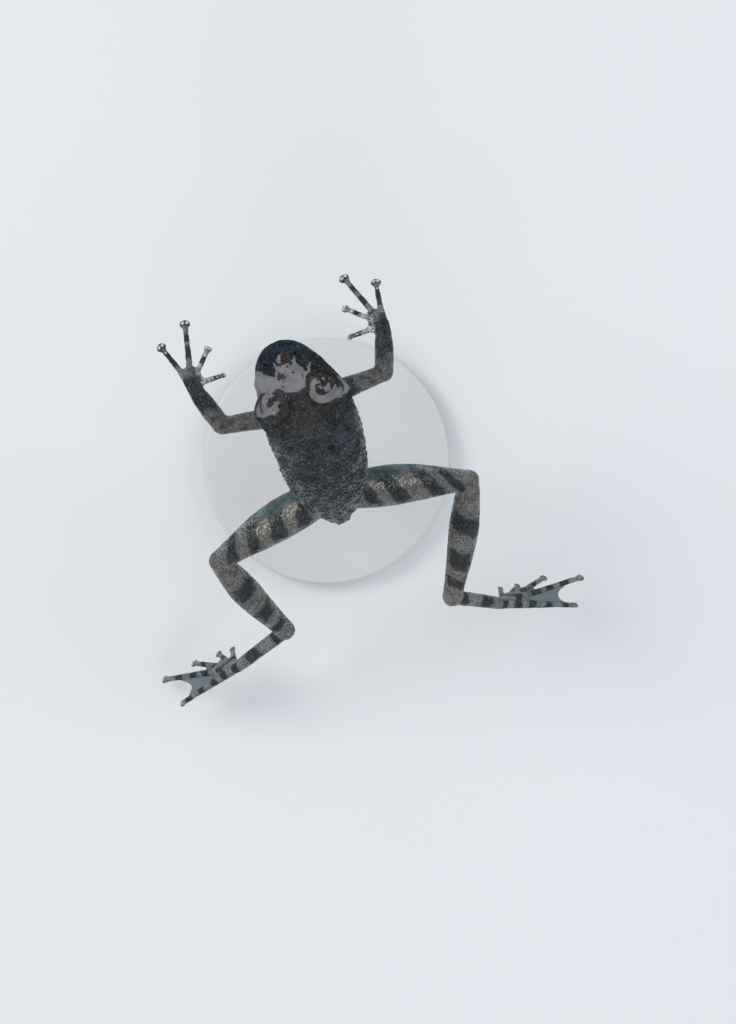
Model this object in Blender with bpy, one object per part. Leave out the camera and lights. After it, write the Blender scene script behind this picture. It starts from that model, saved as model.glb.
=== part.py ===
"""A stream tree frog afloat, modelled at life size on a plain display stand.

The frog faces -Y with +Z up, and its left side is at +X. The origin is the centre of the
stand's underside. A heading is measured from straight ahead towards the limb's own outer side,
and a droop is the angle below the horizontal.
"""

import math

import bmesh
import bpy
from mathutils import Matrix, Vector

MM = 0.001
GAP = 0.3 * MM

# Posture of the body: the head floats high and the trunk hangs from it.
SNOUT = Vector((1.05, -12.35, 46.6)) * MM
HEAD_YAW = 8.0
TRUNK_YAW = -3.0
HEAD_PITCH = 34.0
TRUNK_PITCH = 56.0
NECK_BEND_START = 8.0 * MM
NECK_BEND_END = 14.0 * MM
HEAD_ROLL = 8.0
TRUNK_ROLL = 3.0
SPINE_STEP = 0.25 * MM
BODY_LENGTH = 30.4 * MM

# Body sections in mm: distance from the snout, half width, height above and depth below the spine.
BODY_SECTIONS = (
    (0.00, 0.70, 0.30, 0.35),
    (0.30, 1.50, 0.65, 0.75),
    (1.00, 2.35, 1.05, 1.10),
    (2.20, 3.15, 1.40, 1.50),
    (4.00, 3.95, 1.65, 1.90),
    (6.00, 4.60, 1.80, 2.30),
    (8.30, 5.10, 2.05, 2.70),
    (10.5, 5.05, 2.35, 3.00),
    (13.0, 5.05, 2.70, 3.40),
    (17.0, 4.90, 3.00, 3.75),
    (21.0, 4.45, 2.90, 3.50),
    (24.5, 3.75, 2.55, 2.90),
    (27.4, 2.70, 1.95, 2.20),
    (29.3, 1.65, 1.30, 1.40),
    (30.4, 0.65, 0.50, 0.55),
)
BODY_RINGS = (
    0.0, 0.3, 0.8, 1.5, 2.4, 3.4, 4.6, 6.0, 7.2, 8.4, 9.4, 10.5, 12.0, 13.5, 15.0,
    16.5, 18.0, 19.5, 21.0, 22.5, 24.0, 25.4, 26.6, 27.8, 28.8, 29.7, 30.4,
)
BODY_SIDES = 28
BODY_SQUARENESS = 2.25
NECK_CUT = 10.2 * MM

# Head features.
EYE_STATION = 6.3 * MM
EYE_OUT = 2.85 * MM
EYE_UP = 1.05 * MM
EYE_RADIUS = 1.5 * MM
EYE_GAZE_FORWARD = 22.0
EYE_GAZE_UP = 18.0
LID_RADIUS = 2.1 * MM
LID_OPENING = 1.35 * MM
EYE_STANDS_OUT = 0.3 * MM
MOUTH_ANGLE = -13.0
MOUTH_END = 9.3 * MM
MOUTH_GROOVE = 0.17 * MM
LIP_RADIUS = 0.26 * MM
LIP_RISE = 9.0
NOSTRIL_STATION = 1.35 * MM
NOSTRIL_ANGLE = 52.0
NOSTRIL_RADIUS = 0.26 * MM
EARDRUM_STATION = 8.5 * MM
EARDRUM_ANGLE = 12.0
EARDRUM_RADIUS = 0.8 * MM
FOLD_RADIUS = 0.3 * MM

# Arms.
SHOULDER_STATION = 11.4 * MM
SHOULDER_OUT = 3.7 * MM
SHOULDER_DOWN = 2.9 * MM
SHOULDER_CUT = 2.7 * MM
CUT_SHIFT = 0.1 * MM
ELBOW_RADIUS = 1.1 * MM
KNEE_RADIUS = 1.34 * MM
HEEL_RADIUS = 1.18 * MM
SOLE_RADIUS = 0.84 * MM
WRIST_CUT = 1.1 * MM
UPPER_ARM = 6.1 * MM
FOREARM = 5.5 * MM
FINGER_LENGTHS = (4.1, 5.2, 7.6, 6.0)
PALM = 1.8 * MM
FINGER_RADII = (0.33, 0.32, 0.34, 0.33)
FINGER_DISCS = (0.38, 0.50, 0.64, 0.62)

# Legs.
HIP_STATION = 25.6 * MM
HIP_OUT = 1.75 * MM
HIP_DOWN = 0.5 * MM
THIGH = 14.4 * MM
THIGH_BOW = Vector((0.0, -0.3, 0.1)) * MM
SHANK = 15.2 * MM
SHANK_BOW = 0.25 * MM
TARSUS = 8.2 * MM
TOE_LENGTHS = (4.7, 6.2, 8.6, 12.2, 9.8)
TOE_RADII = (0.36, 0.37, 0.38, 0.40, 0.39)
TOE_DISCS = (0.46, 0.50, 0.54, 0.58, 0.56)
WEB_REACH = (0.80, 0.80, 0.80, 0.72, 0.84)
WEB_THICKNESS = 0.5 * MM

# Each side's own angles, as (heading, droop). Fingers and toes are listed from the inner one.
POSE = {
    "right": {
        "side": -1,
        "upper_arm": (79.2, 24.0),
        "forearm": (14.1, -8.0),
        "fingers": ((-91.6, 17.5), (-47.5, 28.2), (-21.1, 26.9), (8.4, 35.5)),
        "thigh": (102.5, 17.4),
        "shank": (205.3, 25.9),
        "tarsus": (116.6, 40.1),
        "toes": ((15.0, 69.8), (64.0, 63.7), (79.1, 46.7), (91.3, 34.7), (110.1, 26.6)),
    },
    "left": {
        "side": 1,
        "upper_arm": (81.7, 2.0),
        "forearm": (18.5, -6.0),
        "fingers": ((-88.5, 28.5), (-39.0, 33.5), (-10.2, 25.2), (21.2, 24.8)),
        "thigh": (104.1, 19.9),
        "shank": (203.4, 43.0),
        "tarsus": (109.6, 21.3),
        "toes": ((0.0, 63.0), (41.1, 64.1), (69.9, 51.6), (83.7, 40.9), (106.1, 34.6)),
    },
}

# Angles in radians of the rings that round off a limb's end.
CAP_ANGLES = (0.45, 0.9, 1.35)

# Stand.
BASE_RADIUS = 15.0 * MM
BASE_HEIGHT = 2.4 * MM
BASE_EDGE = 0.5 * MM
ROD_RADIUS = 1.1 * MM
ROD_SINK = 2.6 * MM

SKIN_BROWN = (0.150, 0.130, 0.115, 1.0)
LIMB_BROWN = (0.170, 0.150, 0.130, 1.0)
FOOT_GREY = (0.220, 0.210, 0.200, 1.0)
EYE_BRONZE = (0.160, 0.090, 0.030, 1.0)
STAND_WHITE = (0.780, 0.780, 0.760, 1.0)


def material(name, colour, roughness, metallic=0.0):
    """Return a plain Principled material."""
    made = bpy.data.materials.get(name) or bpy.data.materials.new(name)
    made.use_nodes = True
    shader = made.node_tree.nodes["Principled BSDF"]
    shader.inputs["Base Color"].default_value = colour
    shader.inputs["Roughness"].default_value = roughness
    shader.inputs["Metallic"].default_value = metallic
    return made


def add_object(name, mesh):
    """Link a mesh to the scene as a new object."""
    made = bpy.data.objects.new(name, mesh)
    bpy.context.scene.collection.objects.link(made)
    return made


def object_from(name, bm):
    """Turn a bmesh into an object whose faces point out."""
    bmesh.ops.recalc_face_normals(bm, faces=bm.faces)
    mesh = bpy.data.meshes.new(name)
    bm.to_mesh(mesh)
    bm.free()
    return add_object(name, mesh)


def evaluated_mesh(source):
    """Return a new mesh of an object as its modifiers leave it."""
    graph = bpy.context.evaluated_depsgraph_get()
    return bpy.data.meshes.new_from_object(source.evaluated_get(graph))


def is_closed(mesh):
    """Tell whether a mesh has faces and every edge lies between two of them."""
    bm = bmesh.new()
    bm.from_mesh(mesh)
    closed = len(bm.faces) > 0 and all(edge.is_manifold for edge in bm.edges)
    bm.free()
    return closed


def boolean(target, others, operation):
    """Join or cut target with closed meshes, then remove those meshes."""
    group = bpy.data.collections.new("operands")
    for other in others:
        group.objects.link(other)
    step = target.modifiers.new(operation.title(), "BOOLEAN")
    step.operation = operation
    step.operand_type = "COLLECTION"
    step.collection = group
    for solver in ("EXACT", "MANIFOLD"):
        step.solver = solver
        bpy.context.view_layer.update()
        result = evaluated_mesh(target)
        if is_closed(result):
            break
    target.modifiers.clear()
    target.data = result
    for other in list(group.objects):
        bpy.data.objects.remove(other)
    bpy.data.collections.remove(group)
    return target


def loose_bodies(source):
    """Split an object into one object for each closed surface, and remove the source."""
    bm = bmesh.new()
    bm.from_mesh(source.data)
    bmesh.ops.remove_doubles(bm, verts=bm.verts, dist=0.001 * MM)
    bm.verts.ensure_lookup_table()
    seen = set()
    bodies = []
    for start in bm.verts:
        if start in seen:
            continue
        seen.add(start)
        island, queue = {start}, [start]
        while queue:
            for edge in queue.pop().link_edges:
                for vert in edge.verts:
                    if vert not in seen:
                        seen.add(vert)
                        island.add(vert)
                        queue.append(vert)
        piece = bm.copy()
        piece.verts.ensure_lookup_table()
        kept = {vert.index for vert in island}
        bm.verts.index_update()
        kept = {vert.index for vert in island}
        gone = [vert for vert in piece.verts if vert.index not in kept]
        bmesh.ops.delete(piece, geom=gone, context="VERTS")
        if piece.faces and piece.calc_volume() > 0:
            mesh = bpy.data.meshes.new(source.name)
            volume = piece.calc_volume()
            piece.to_mesh(mesh)
            bodies.append((volume, add_object(source.name, mesh)))
        piece.free()
    bm.free()
    bpy.data.objects.remove(source)
    return sorted(bodies, key=lambda body: body[0], reverse=True)


def keep_largest(source, name):
    """Keep only the largest closed surface of an object, under a new name."""
    bodies = loose_bodies(source)
    for _, scrap in bodies[1:]:
        bpy.data.objects.remove(scrap)
    bodies[0][1].name = name
    return bodies[0][1]


def smooth(value):
    """Ease a number from 0 to 1, held at its ends."""
    value = min(1.0, max(0.0, value))
    return value * value * (3 - 2 * value)


def neck_share(station):
    """Return how much of the neck's bend lies ahead of a station, from 0 to 1."""
    return smooth((station - NECK_BEND_START) / (NECK_BEND_END - NECK_BEND_START))


def forward_at(station, lean=0.0):
    """Return the body's forward direction at a station, leant by an angle in degrees."""
    share = neck_share(station)
    yaw = math.radians(HEAD_YAW + (TRUNK_YAW - HEAD_YAW) * share)
    pitch = math.radians(HEAD_PITCH + (TRUNK_PITCH - HEAD_PITCH) * share + lean)
    level = Vector((math.sin(yaw), -math.cos(yaw), 0.0))
    return level * math.cos(pitch) + Vector((0.0, 0.0, math.sin(pitch)))


def spine_point(station):
    """Return the spine's place at a distance from the snout."""
    here = SNOUT.copy()
    steps = max(1, math.ceil(station / SPINE_STEP))
    length = station / steps
    for step in range(steps):
        here -= forward_at((step + 0.5) * length) * length
    return here


def body_frame(station):
    """Return the spine's place, and the left, up and forward directions of the body there."""
    forward, up = forward_at(station), forward_at(station, 90.0)
    roll = math.radians(HEAD_ROLL + (TRUNK_ROLL - HEAD_ROLL) * neck_share(station))
    turn = Matrix.Rotation(-roll, 3, forward)
    return spine_point(station), turn @ up.cross(forward), turn @ up, forward


def section_at(station):
    """Return the body's half width, height and depth at a station, through the named sections."""
    at = station / MM
    rows = BODY_SECTIONS
    last = len(rows) - 2
    index = min(last, max(0, next((i for i in range(len(rows)) if rows[i][0] > at), 1) - 1))
    if at >= rows[-1][0]:
        index = last
    before, low, high, after = (rows[min(len(rows) - 1, max(0, index + k))] for k in (-1, 0, 1, 2))
    share = min(1.0, (at - low[0]) / (high[0] - low[0]))
    sizes = []
    for column in (1, 2, 3):
        slope_low = (high[column] - before[column]) / max(1e-6, high[0] - before[0])
        slope_high = (after[column] - low[column]) / max(1e-6, after[0] - low[0])
        span = high[0] - low[0]
        cube, square = share**3, share**2
        sizes.append(
            (2 * cube - 3 * square + 1) * low[column]
            + (cube - 2 * square + share) * span * slope_low
            + (3 * square - 2 * cube) * high[column]
            + (cube - square) * span * slope_high
        )
    return [size * MM for size in sizes]


def body_surface(station, angle, lift=0.0):
    """Return a point of the body's surface. Angle 0 is its left side and 90 its back."""
    here, left, up, _ = body_frame(station)
    half, height, depth = section_at(station)
    turn = math.radians(angle)
    across, rise = math.cos(turn), math.sin(turn)
    power = 2 / BODY_SQUARENESS
    across = math.copysign(abs(across) ** power, across)
    rise = math.copysign(abs(rise) ** power, rise)
    offset = left * (across * half) + up * (rise * (height if rise > 0 else depth))
    return here + offset + offset.normalized() * lift


def direction(side, heading, droop):
    """Return the unit vector of a heading and droop on one side of the frog."""
    turn, fall = math.radians(heading), math.radians(droop)
    return Vector(
        (
            side * math.sin(turn) * math.cos(fall),
            -math.cos(turn) * math.cos(fall),
            -math.sin(fall),
        )
    )


def loft(name, rings):
    """Skin a list of rings of points, each with the same count, into one closed mesh."""
    bm = bmesh.new()
    rows = [[bm.verts.new(point) for point in ring] for ring in rings]
    count = len(rings[0])
    for row, following in zip(rows, rows[1:]):
        for k in range(count):
            bm.faces.new((row[k], row[(k + 1) % count], following[(k + 1) % count], following[k]))
    for row in (rows[0], rows[-1]):
        centre = bm.verts.new(sum((vert.co for vert in row), Vector()) / count)
        for k in range(count):
            bm.faces.new((row[k], row[(k + 1) % count], centre))
    return object_from(name, bm)


def spindle(name, start, end, radii, sides=12, flat=1.0, broad=None, bow=None):
    """Build a round-ended limb from start to end.

    Radii are pairs of share of the length and radius in mm. Flat is thickness over breadth, broad
    is the direction that the breadth lies along, and bow is how far its middle stands out.
    """
    axis = (end - start).normalized()
    reference = broad if broad is not None else Vector((0.0, 0.0, 1.0)).cross(axis)
    wide = (reference - axis * reference.dot(axis)).normalized()
    thick = axis.cross(wide)
    length = (end - start).length
    stations = [(share * length, radius * MM) for share, radius in radii]
    first, last = stations[0][1], stations[-1][1]
    front = [(-first * flat * math.sin(a), first * math.cos(a)) for a in CAP_ANGLES[::-1]]
    back = [(length + last * flat * math.sin(a), last * math.cos(a)) for a in CAP_ANGLES]
    rings = []
    for along, radius in front + stations + back:
        centre = start + axis * along
        if bow is not None:
            centre += bow * math.sin(math.pi * min(1.0, max(0.0, along / length)))
        ring = []
        for k in range(sides):
            turn = 2 * math.pi * k / sides
            ring.append(
                centre + wide * (radius * math.cos(turn)) + thick * (radius * flat * math.sin(turn))
            )
        rings.append(ring)
    return loft(name, rings)


def ball(name, centre, radius, segments=20, rings=12, axis=None, squash=1.0):
    """Add a sphere, squashed along an axis when one is given."""
    bm = bmesh.new()
    bmesh.ops.create_uvsphere(bm, u_segments=segments, v_segments=rings, radius=radius)
    bmesh.ops.scale(bm, vec=(1, 1, squash), verts=bm.verts)
    if axis is not None:
        turn = axis.to_track_quat("Z", "Y").to_matrix()
        bmesh.ops.rotate(bm, cent=(0, 0, 0), matrix=turn, verts=bm.verts)
    bmesh.ops.translate(bm, vec=centre, verts=bm.verts)
    return object_from(name, bm)


def rod(name, start, end, radius, sides=24):
    """Add a closed cylinder between two points."""
    axis = end - start
    bm = bmesh.new()
    bmesh.ops.create_cone(
        bm, cap_ends=True, segments=sides, radius1=radius, radius2=radius, depth=axis.length
    )
    turn = axis.to_track_quat("Z", "Y").to_matrix()
    bmesh.ops.rotate(bm, cent=(0, 0, 0), matrix=turn, verts=bm.verts)
    bmesh.ops.translate(bm, vec=(start + end) / 2, verts=bm.verts)
    return object_from(name, bm)


def slab(point, normal, radius):
    """Add the thin disc that parts a limb at a joint."""
    half = normal.normalized() * (GAP / 2)
    return rod("slab", point - half, point + half, radius)


def strand(name, points, radius, sides_resolution=1):
    """Add a thin closed tube through points, as a mesh."""
    curve = bpy.data.curves.new(name, "CURVE")
    curve.dimensions = "3D"
    curve.bevel_depth = radius
    curve.bevel_resolution = sides_resolution
    curve.use_fill_caps = True
    spline = curve.splines.new("POLY")
    spline.points.add(len(points) - 1)
    for place, point in zip(spline.points, points):
        place.co = (*point, 1.0)
    holder = add_object(name, curve)
    bpy.context.view_layer.update()
    bm = bmesh.new()
    bm.from_mesh(evaluated_mesh(holder))
    bpy.data.objects.remove(holder)
    bmesh.ops.remove_doubles(bm, verts=bm.verts, dist=0.005 * MM)
    return object_from(name, bm)


def arc_points(count, function):
    """Return points of a function of a share from 0 to 1."""
    return [function(k / (count - 1)) for k in range(count)]


def mouth_path(rise=0.0, lift=0.0):
    """Return the line of the mouth from one jaw corner round the snout to the other."""
    count = 11
    shares = [math.sin(math.pi / 2 * k / (count - 1)) for k in range(count)]
    left = [
        body_surface(MOUTH_END * (1 - share) + 0.02 * MM, MOUTH_ANGLE + rise, lift)
        for share in shares
    ]
    right = [
        body_surface(MOUTH_END * (1 - share) + 0.02 * MM, 180 - MOUTH_ANGLE - rise, lift)
        for share in shares
    ]
    return left + right[::-1]


def eye_centre(side):
    """Return the centre of an eyelid's dome and the direction of that eye's gaze."""
    here, left, up, forward = body_frame(EYE_STATION)
    centre = here + left * (side * EYE_OUT) + up * EYE_UP
    ahead, above = math.radians(EYE_GAZE_FORWARD), math.radians(EYE_GAZE_UP)
    gaze = left * (side * math.cos(ahead) * math.cos(above))
    gaze += forward * (math.sin(ahead) * math.cos(above)) + up * math.sin(above)
    return centre, gaze


def mirrored_angle(side, angle):
    """Return a body angle given for the left side, on either side."""
    return angle if side > 0 else 180 - angle


def head_ridges(side):
    """Return the lid, eardrum and the fold above it on one side."""
    centre, _ = eye_centre(side)
    lid = ball("lid", centre, LID_RADIUS, 22, 14)
    drum_at = body_surface(EARDRUM_STATION, mirrored_angle(side, EARDRUM_ANGLE))
    here, _, _, _ = body_frame(EARDRUM_STATION)
    drum = ball("eardrum", drum_at, EARDRUM_RADIUS, 16, 8, (drum_at - here).normalized(), 0.25)
    fold = strand(
        "fold",
        arc_points(
            7,
            lambda t: body_surface(
                (7.3 + 2.85 * t) * MM, mirrored_angle(side, 44 - 30 * t * t), -0.08 * MM
            ),
        ),
        FOLD_RADIUS,
    )
    return [lid, drum, fold]


def build_body():
    """Build the head and torso as one form, and part them at the neck."""
    rings = [
        [body_surface(at * MM, 360 * k / BODY_SIDES) for k in range(BODY_SIDES)]
        for at in BODY_RINGS
    ]
    whole = loft("body", rings)
    here, _, _, forward = body_frame(NECK_CUT)
    boolean(whole, [slab(here, forward, 9 * MM)], "DIFFERENCE")
    pieces = [body for _, body in loose_bodies(whole)][:2]
    torso, head = sorted(pieces, key=lambda piece: min(v.co.z for v in piece.data.vertices))
    return head, torso


def build_head(head):
    """Add lids, lips, eardrums and folds to the head, and open the eyes, mouth and nostrils."""
    ridges = [strand("lip", mouth_path(LIP_RISE, -0.12 * MM), LIP_RADIUS)]
    for side in (-1, 1):
        ridges += head_ridges(side)
    boolean(head, ridges, "UNION")
    openings = [strand("mouth", mouth_path(), MOUTH_GROOVE)]
    for side in (-1, 1):
        centre, gaze = eye_centre(side)
        seat = centre + gaze * EYE_STANDS_OUT
        openings.append(ball("socket", seat, EYE_RADIUS + GAP * 0.9, 20, 12, gaze))
        openings.append(rod("opening", seat, seat + gaze * 4 * MM, LID_OPENING, 20))
        angle = mirrored_angle(side, NOSTRIL_ANGLE)
        openings.append(ball("nostril", body_surface(NOSTRIL_STATION, angle), NOSTRIL_RADIUS, 8, 6))
    for opening in openings:
        boolean(head, [opening], "DIFFERENCE")
    return keep_largest(head, "head")


def build_eye(side, name):
    """Build one eyeball."""
    centre, gaze = eye_centre(side)
    return ball(name, centre + gaze * EYE_STANDS_OUT, EYE_RADIUS, 20, 12, gaze)


def build_arm(pose):
    """Return an arm's pieces, its joint cuts and the places that name its segments."""
    side = pose["side"]
    here, left, up, _ = body_frame(SHOULDER_STATION)
    shoulder = here + left * (side * SHOULDER_OUT) - up * SHOULDER_DOWN
    elbow = shoulder + direction(side, *pose["upper_arm"]) * UPPER_ARM
    wrist = elbow + direction(side, *pose["forearm"]) * FOREARM
    pieces = [
        spindle("upper_arm", shoulder, elbow, ((0, 1.2), (0.4, 1.02), (0.8, 1.0), (1, 1.02)), 14),
        spindle(
            "forearm", elbow, wrist, ((0, 1.02), (0.3, 1.1), (0.65, 1.02), (1, 0.8)), 14
        ),
    ]
    pieces.append(ball("elbow", elbow, ELBOW_RADIUS, 14, 10, direction(side, 40, 15)))
    broad = Vector((1.0, 0.0, 0.0))
    middle = (direction(side, *pose["fingers"][1]) + direction(side, *pose["fingers"][2])) / 2
    palm = wrist + middle * PALM
    pieces.append(
        spindle("palm", wrist, palm, ((0, 0.82), (0.5, 1.0), (1, 0.95)), 12, 0.55, broad)
    )
    for k, angles in enumerate(pose["fingers"]):
        aim = direction(side, *angles)
        tip = wrist + aim * FINGER_LENGTHS[k] * MM
        root = wrist + aim * 1.0 * MM
        radius = FINGER_RADII[k]
        radii = ((0, radius * 1.25), (0.4, radius), (0.75, radius * 0.9), (1, radius * 0.95))
        pieces.append(spindle("finger", root, tip, radii, 8, 0.9))
        palm_up = Vector((0.0, 0.0, 1.0))
        face = (palm_up - aim * palm_up.dot(aim)).normalized()
        pieces.append(ball("disc", tip, FINGER_DISCS[k] * MM, 12, 8, face, 0.55))
    upper_dir, lower_dir = (elbow - shoulder).normalized(), (wrist - elbow).normalized()
    cuts = [
        (shoulder + upper_dir * SHOULDER_CUT, upper_dir, 1.55 * MM),
        (elbow + lower_dir * CUT_SHIFT, upper_dir * 1.1 + lower_dir, 1.9 * MM),
        (wrist - lower_dir * WRIST_CUT, lower_dir, 1.25 * MM),
    ]
    places = {
        "upper_arm": (shoulder * 0.35 + elbow * 0.65),
        "forearm": (elbow + wrist) / 2,
        "hand": palm,
    }
    return pieces, cuts, places


def web_panel(start_a, tip_a, start_b, tip_b, reach_a, reach_b, normal):
    """Build one web between two toes, its free edge drawn in between them."""
    rows = 5
    bm = bmesh.new()
    grid = []
    for k in range(rows):
        along = 0.04 + 0.96 * k / (rows - 1)
        left = start_a.lerp(tip_a, reach_a * along)
        right = start_b.lerp(tip_b, reach_b * along)
        middle = (left + right) / 2
        inward = (start_a + start_b) / 2 - middle
        middle += inward * (0.16 * along**2)
        grid.append([bm.verts.new(point) for point in (left, middle, right)])
    for row, following in zip(grid, grid[1:]):
        for j in range(2):
            bm.faces.new((row[j], row[j + 1], following[j + 1]))
            bm.faces.new((row[j], following[j + 1], following[j]))
    bmesh.ops.recalc_face_normals(bm, faces=bm.faces)
    made = bmesh.ops.extrude_face_region(bm, geom=list(bm.faces))
    moved = [item for item in made["geom"] if isinstance(item, bmesh.types.BMVert)]
    bmesh.ops.translate(bm, vec=normal * WEB_THICKNESS, verts=moved)
    bmesh.ops.translate(bm, vec=-normal * WEB_THICKNESS / 2, verts=bm.verts)
    return object_from("web", bm)


def build_leg(pose):
    """Return a leg's pieces, its joint cuts and the places that name its segments."""
    side = pose["side"]
    here, left, up, _ = body_frame(HIP_STATION)
    hip = here + left * (side * HIP_OUT) - up * HIP_DOWN
    knee = hip + direction(side, *pose["thigh"]) * THIGH
    heel = knee + direction(side, *pose["shank"]) * SHANK
    ball_of_foot = heel + direction(side, *pose["tarsus"]) * TARSUS
    thigh_radii = ((0, 1.9), (0.12, 2.25), (0.35, 2.38), (0.6, 2.08), (0.82, 1.55), (1, 1.3))
    shank_radii = ((0, 1.28), (0.15, 1.5), (0.4, 1.8), (0.68, 1.5), (0.88, 1.22), (1, 1.18))
    pieces = [
        spindle("thigh", hip, knee, thigh_radii, 16, bow=THIGH_BOW),
        spindle("shank", knee, heel, shank_radii, 14, bow=Vector((side * SHANK_BOW, 0, 0))),
        spindle("tarsus", heel, ball_of_foot, ((0, 0.95), (0.25, 0.8), (0.6, 0.76), (1, 0.8)), 12),
    ]
    axis = (ball_of_foot - heel).normalized()
    pieces.append(ball("knee", knee, KNEE_RADIUS, 16, 10, direction(side, 50, 10)))
    pieces.append(ball("heel", heel, HEEL_RADIUS, 14, 10, direction(side, 150, 20)))
    pieces.append(ball("sole", ball_of_foot, SOLE_RADIUS, 12, 8, axis))
    toes = []
    for k, length in enumerate(TOE_LENGTHS):
        aim = direction(side, *pose["toes"][k])
        toes.append((ball_of_foot + aim * 0.25 * MM, ball_of_foot + aim * length * MM, aim))
    across = (toes[1][2] - toes[4][2]).normalized()
    sole = across.cross(axis).normalized()
    for k, (root, tip, aim) in enumerate(toes):
        radius = TOE_RADII[k]
        radii = ((0, radius * 1.3), (0.3, radius * 1.05), (0.7, radius * 0.92), (1, radius * 0.9))
        face = (sole - aim * sole.dot(aim)).normalized()
        pieces.append(spindle("toe", root, tip, radii, 8))
        pieces.append(ball("disc", tip, TOE_DISCS[k] * MM, 12, 8, face, 0.6))
    for k in range(4):
        (root_a, tip_a, aim_a), (root_b, tip_b, aim_b) = toes[k], toes[k + 1]
        normal = aim_a.cross(aim_b).normalized()
        reach_b = WEB_REACH[k + 1] * (0.82 if k == 2 else 1.0)
        pieces.append(web_panel(root_a, tip_a, root_b, tip_b, WEB_REACH[k], reach_b, normal))
    thigh_dir, shank_dir = (knee - hip).normalized(), (heel - knee).normalized()
    cuts = [
        (hip + thigh_dir * 3.6 * MM, thigh_dir, 3.2 * MM),
        (knee + shank_dir * CUT_SHIFT, thigh_dir * 1.1 + shank_dir, 2.6 * MM),
        (heel + axis * CUT_SHIFT, shank_dir * 1.1 + axis, 2.2 * MM),
    ]
    places = {
        "thigh": (hip + knee) / 2,
        "shank": (knee + heel) / 2,
        "foot": ball_of_foot,
    }
    return pieces, cuts, places


def build_limbs(torso):
    """Grow the limbs from the torso, part them at their joints, and name every piece."""
    pieces, cuts = [], []
    here, _, up, _ = body_frame(19 * MM)
    places = {"torso": here}
    for name, pose in POSE.items():
        for builder in (build_arm, build_leg):
            made, parted, named = builder(pose)
            pieces += made
            cuts += parted
            places.update({f"{part}_{name}": place for part, place in named.items()})
    boolean(torso, pieces, "UNION")
    boolean(torso, [slab(*cut) for cut in cuts], "DIFFERENCE")
    bodies = loose_bodies(torso)
    named = {}
    for _, body in bodies:
        middle = sum((v.co for v in body.data.vertices), Vector()) / len(body.data.vertices)
        name = min(places, key=lambda place: (places[place] - middle).length)
        if name in named:
            bpy.data.objects.remove(body)
            continue
        body.name = name
        named[name] = body
    return named


def build_stand(torso):
    """Build the stand's base and rod, and seat the rod's end in the torso."""
    bm = bmesh.new()
    bmesh.ops.create_cone(
        bm, cap_ends=True, segments=48, radius1=BASE_RADIUS, radius2=BASE_RADIUS, depth=BASE_HEIGHT
    )
    bmesh.ops.translate(bm, vec=(0, 0, BASE_HEIGHT / 2), verts=bm.verts)
    rim = [edge for edge in bm.edges if all(v.co.z > BASE_HEIGHT * 0.9 for v in edge.verts)]
    bmesh.ops.bevel(bm, geom=rim, offset=BASE_EDGE, segments=2, affect="EDGES", profile=0.5)
    base = object_from("stand_base", bm)
    belly = min(
        (v.co for v in torso.data.vertices if math.hypot(v.co.x, v.co.y) < 2.5 * MM),
        key=lambda place: place.z,
    ).z
    foot = Vector((0, 0, BASE_HEIGHT + GAP))
    head = Vector((0, 0, belly + ROD_SINK))
    hole_top = head + Vector((0, 0, GAP))
    boolean(torso, [rod("hole", foot, hole_top, ROD_RADIUS + GAP)], "DIFFERENCE")
    return base, rod("stand_rod", foot, head, ROD_RADIUS, 20)


def finish(made, name, finish_material):
    """Name a node, give it its material and shade it smooth."""
    made.name = name
    made.data.name = name
    made.data.materials.clear()
    made.data.materials.append(finish_material)
    made.data.shade_smooth()
    made.data.set_sharp_from_angle(angle=math.radians(50))


def main():
    """Build every node of the frog and its stand."""
    for old in list(bpy.data.objects):
        bpy.data.objects.remove(old)
    head, torso = build_body()
    nodes = build_limbs(torso)
    nodes["head"] = build_head(head)
    nodes["eye_left"] = build_eye(1, "eye_left")
    nodes["eye_right"] = build_eye(-1, "eye_right")
    nodes["stand_base"], nodes["stand_rod"] = build_stand(nodes["torso"])
    skin = material("skin", SKIN_BROWN, 0.45)
    limb = material("limb_skin", LIMB_BROWN, 0.45)
    foot = material("foot_skin", FOOT_GREY, 0.4)
    eye = material("eye", EYE_BRONZE, 0.1)
    stand = material("stand", STAND_WHITE, 0.4)
    parts = bpy.data.collections.new("stream_tree_frog")
    bpy.context.scene.collection.children.link(parts)
    for name, node in nodes.items():
        kind = name.split("_")[0]
        look = {"head": skin, "torso": skin, "hand": foot, "foot": foot, "eye": eye, "stand": stand}
        finish(node, name, look.get(kind, limb))
        for collection in list(node.users_collection):
            collection.objects.unlink(node)
        parts.objects.link(node)


main()
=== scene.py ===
"""The looks of a stream tree frog afloat, held on its display stand.

The frog faces -Y with +Z up, and its left side is at +X. The builders work in millimetres, and
each finished mesh is turned into metres at its end.
"""

from __future__ import annotations

import logging
import math
from dataclasses import dataclass, field
from enum import Enum
from functools import cached_property
from itertools import pairwise
from typing import Sequence

import bmesh
import bpy
import numpy as np
from mathutils import Matrix, Vector, noise

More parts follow.
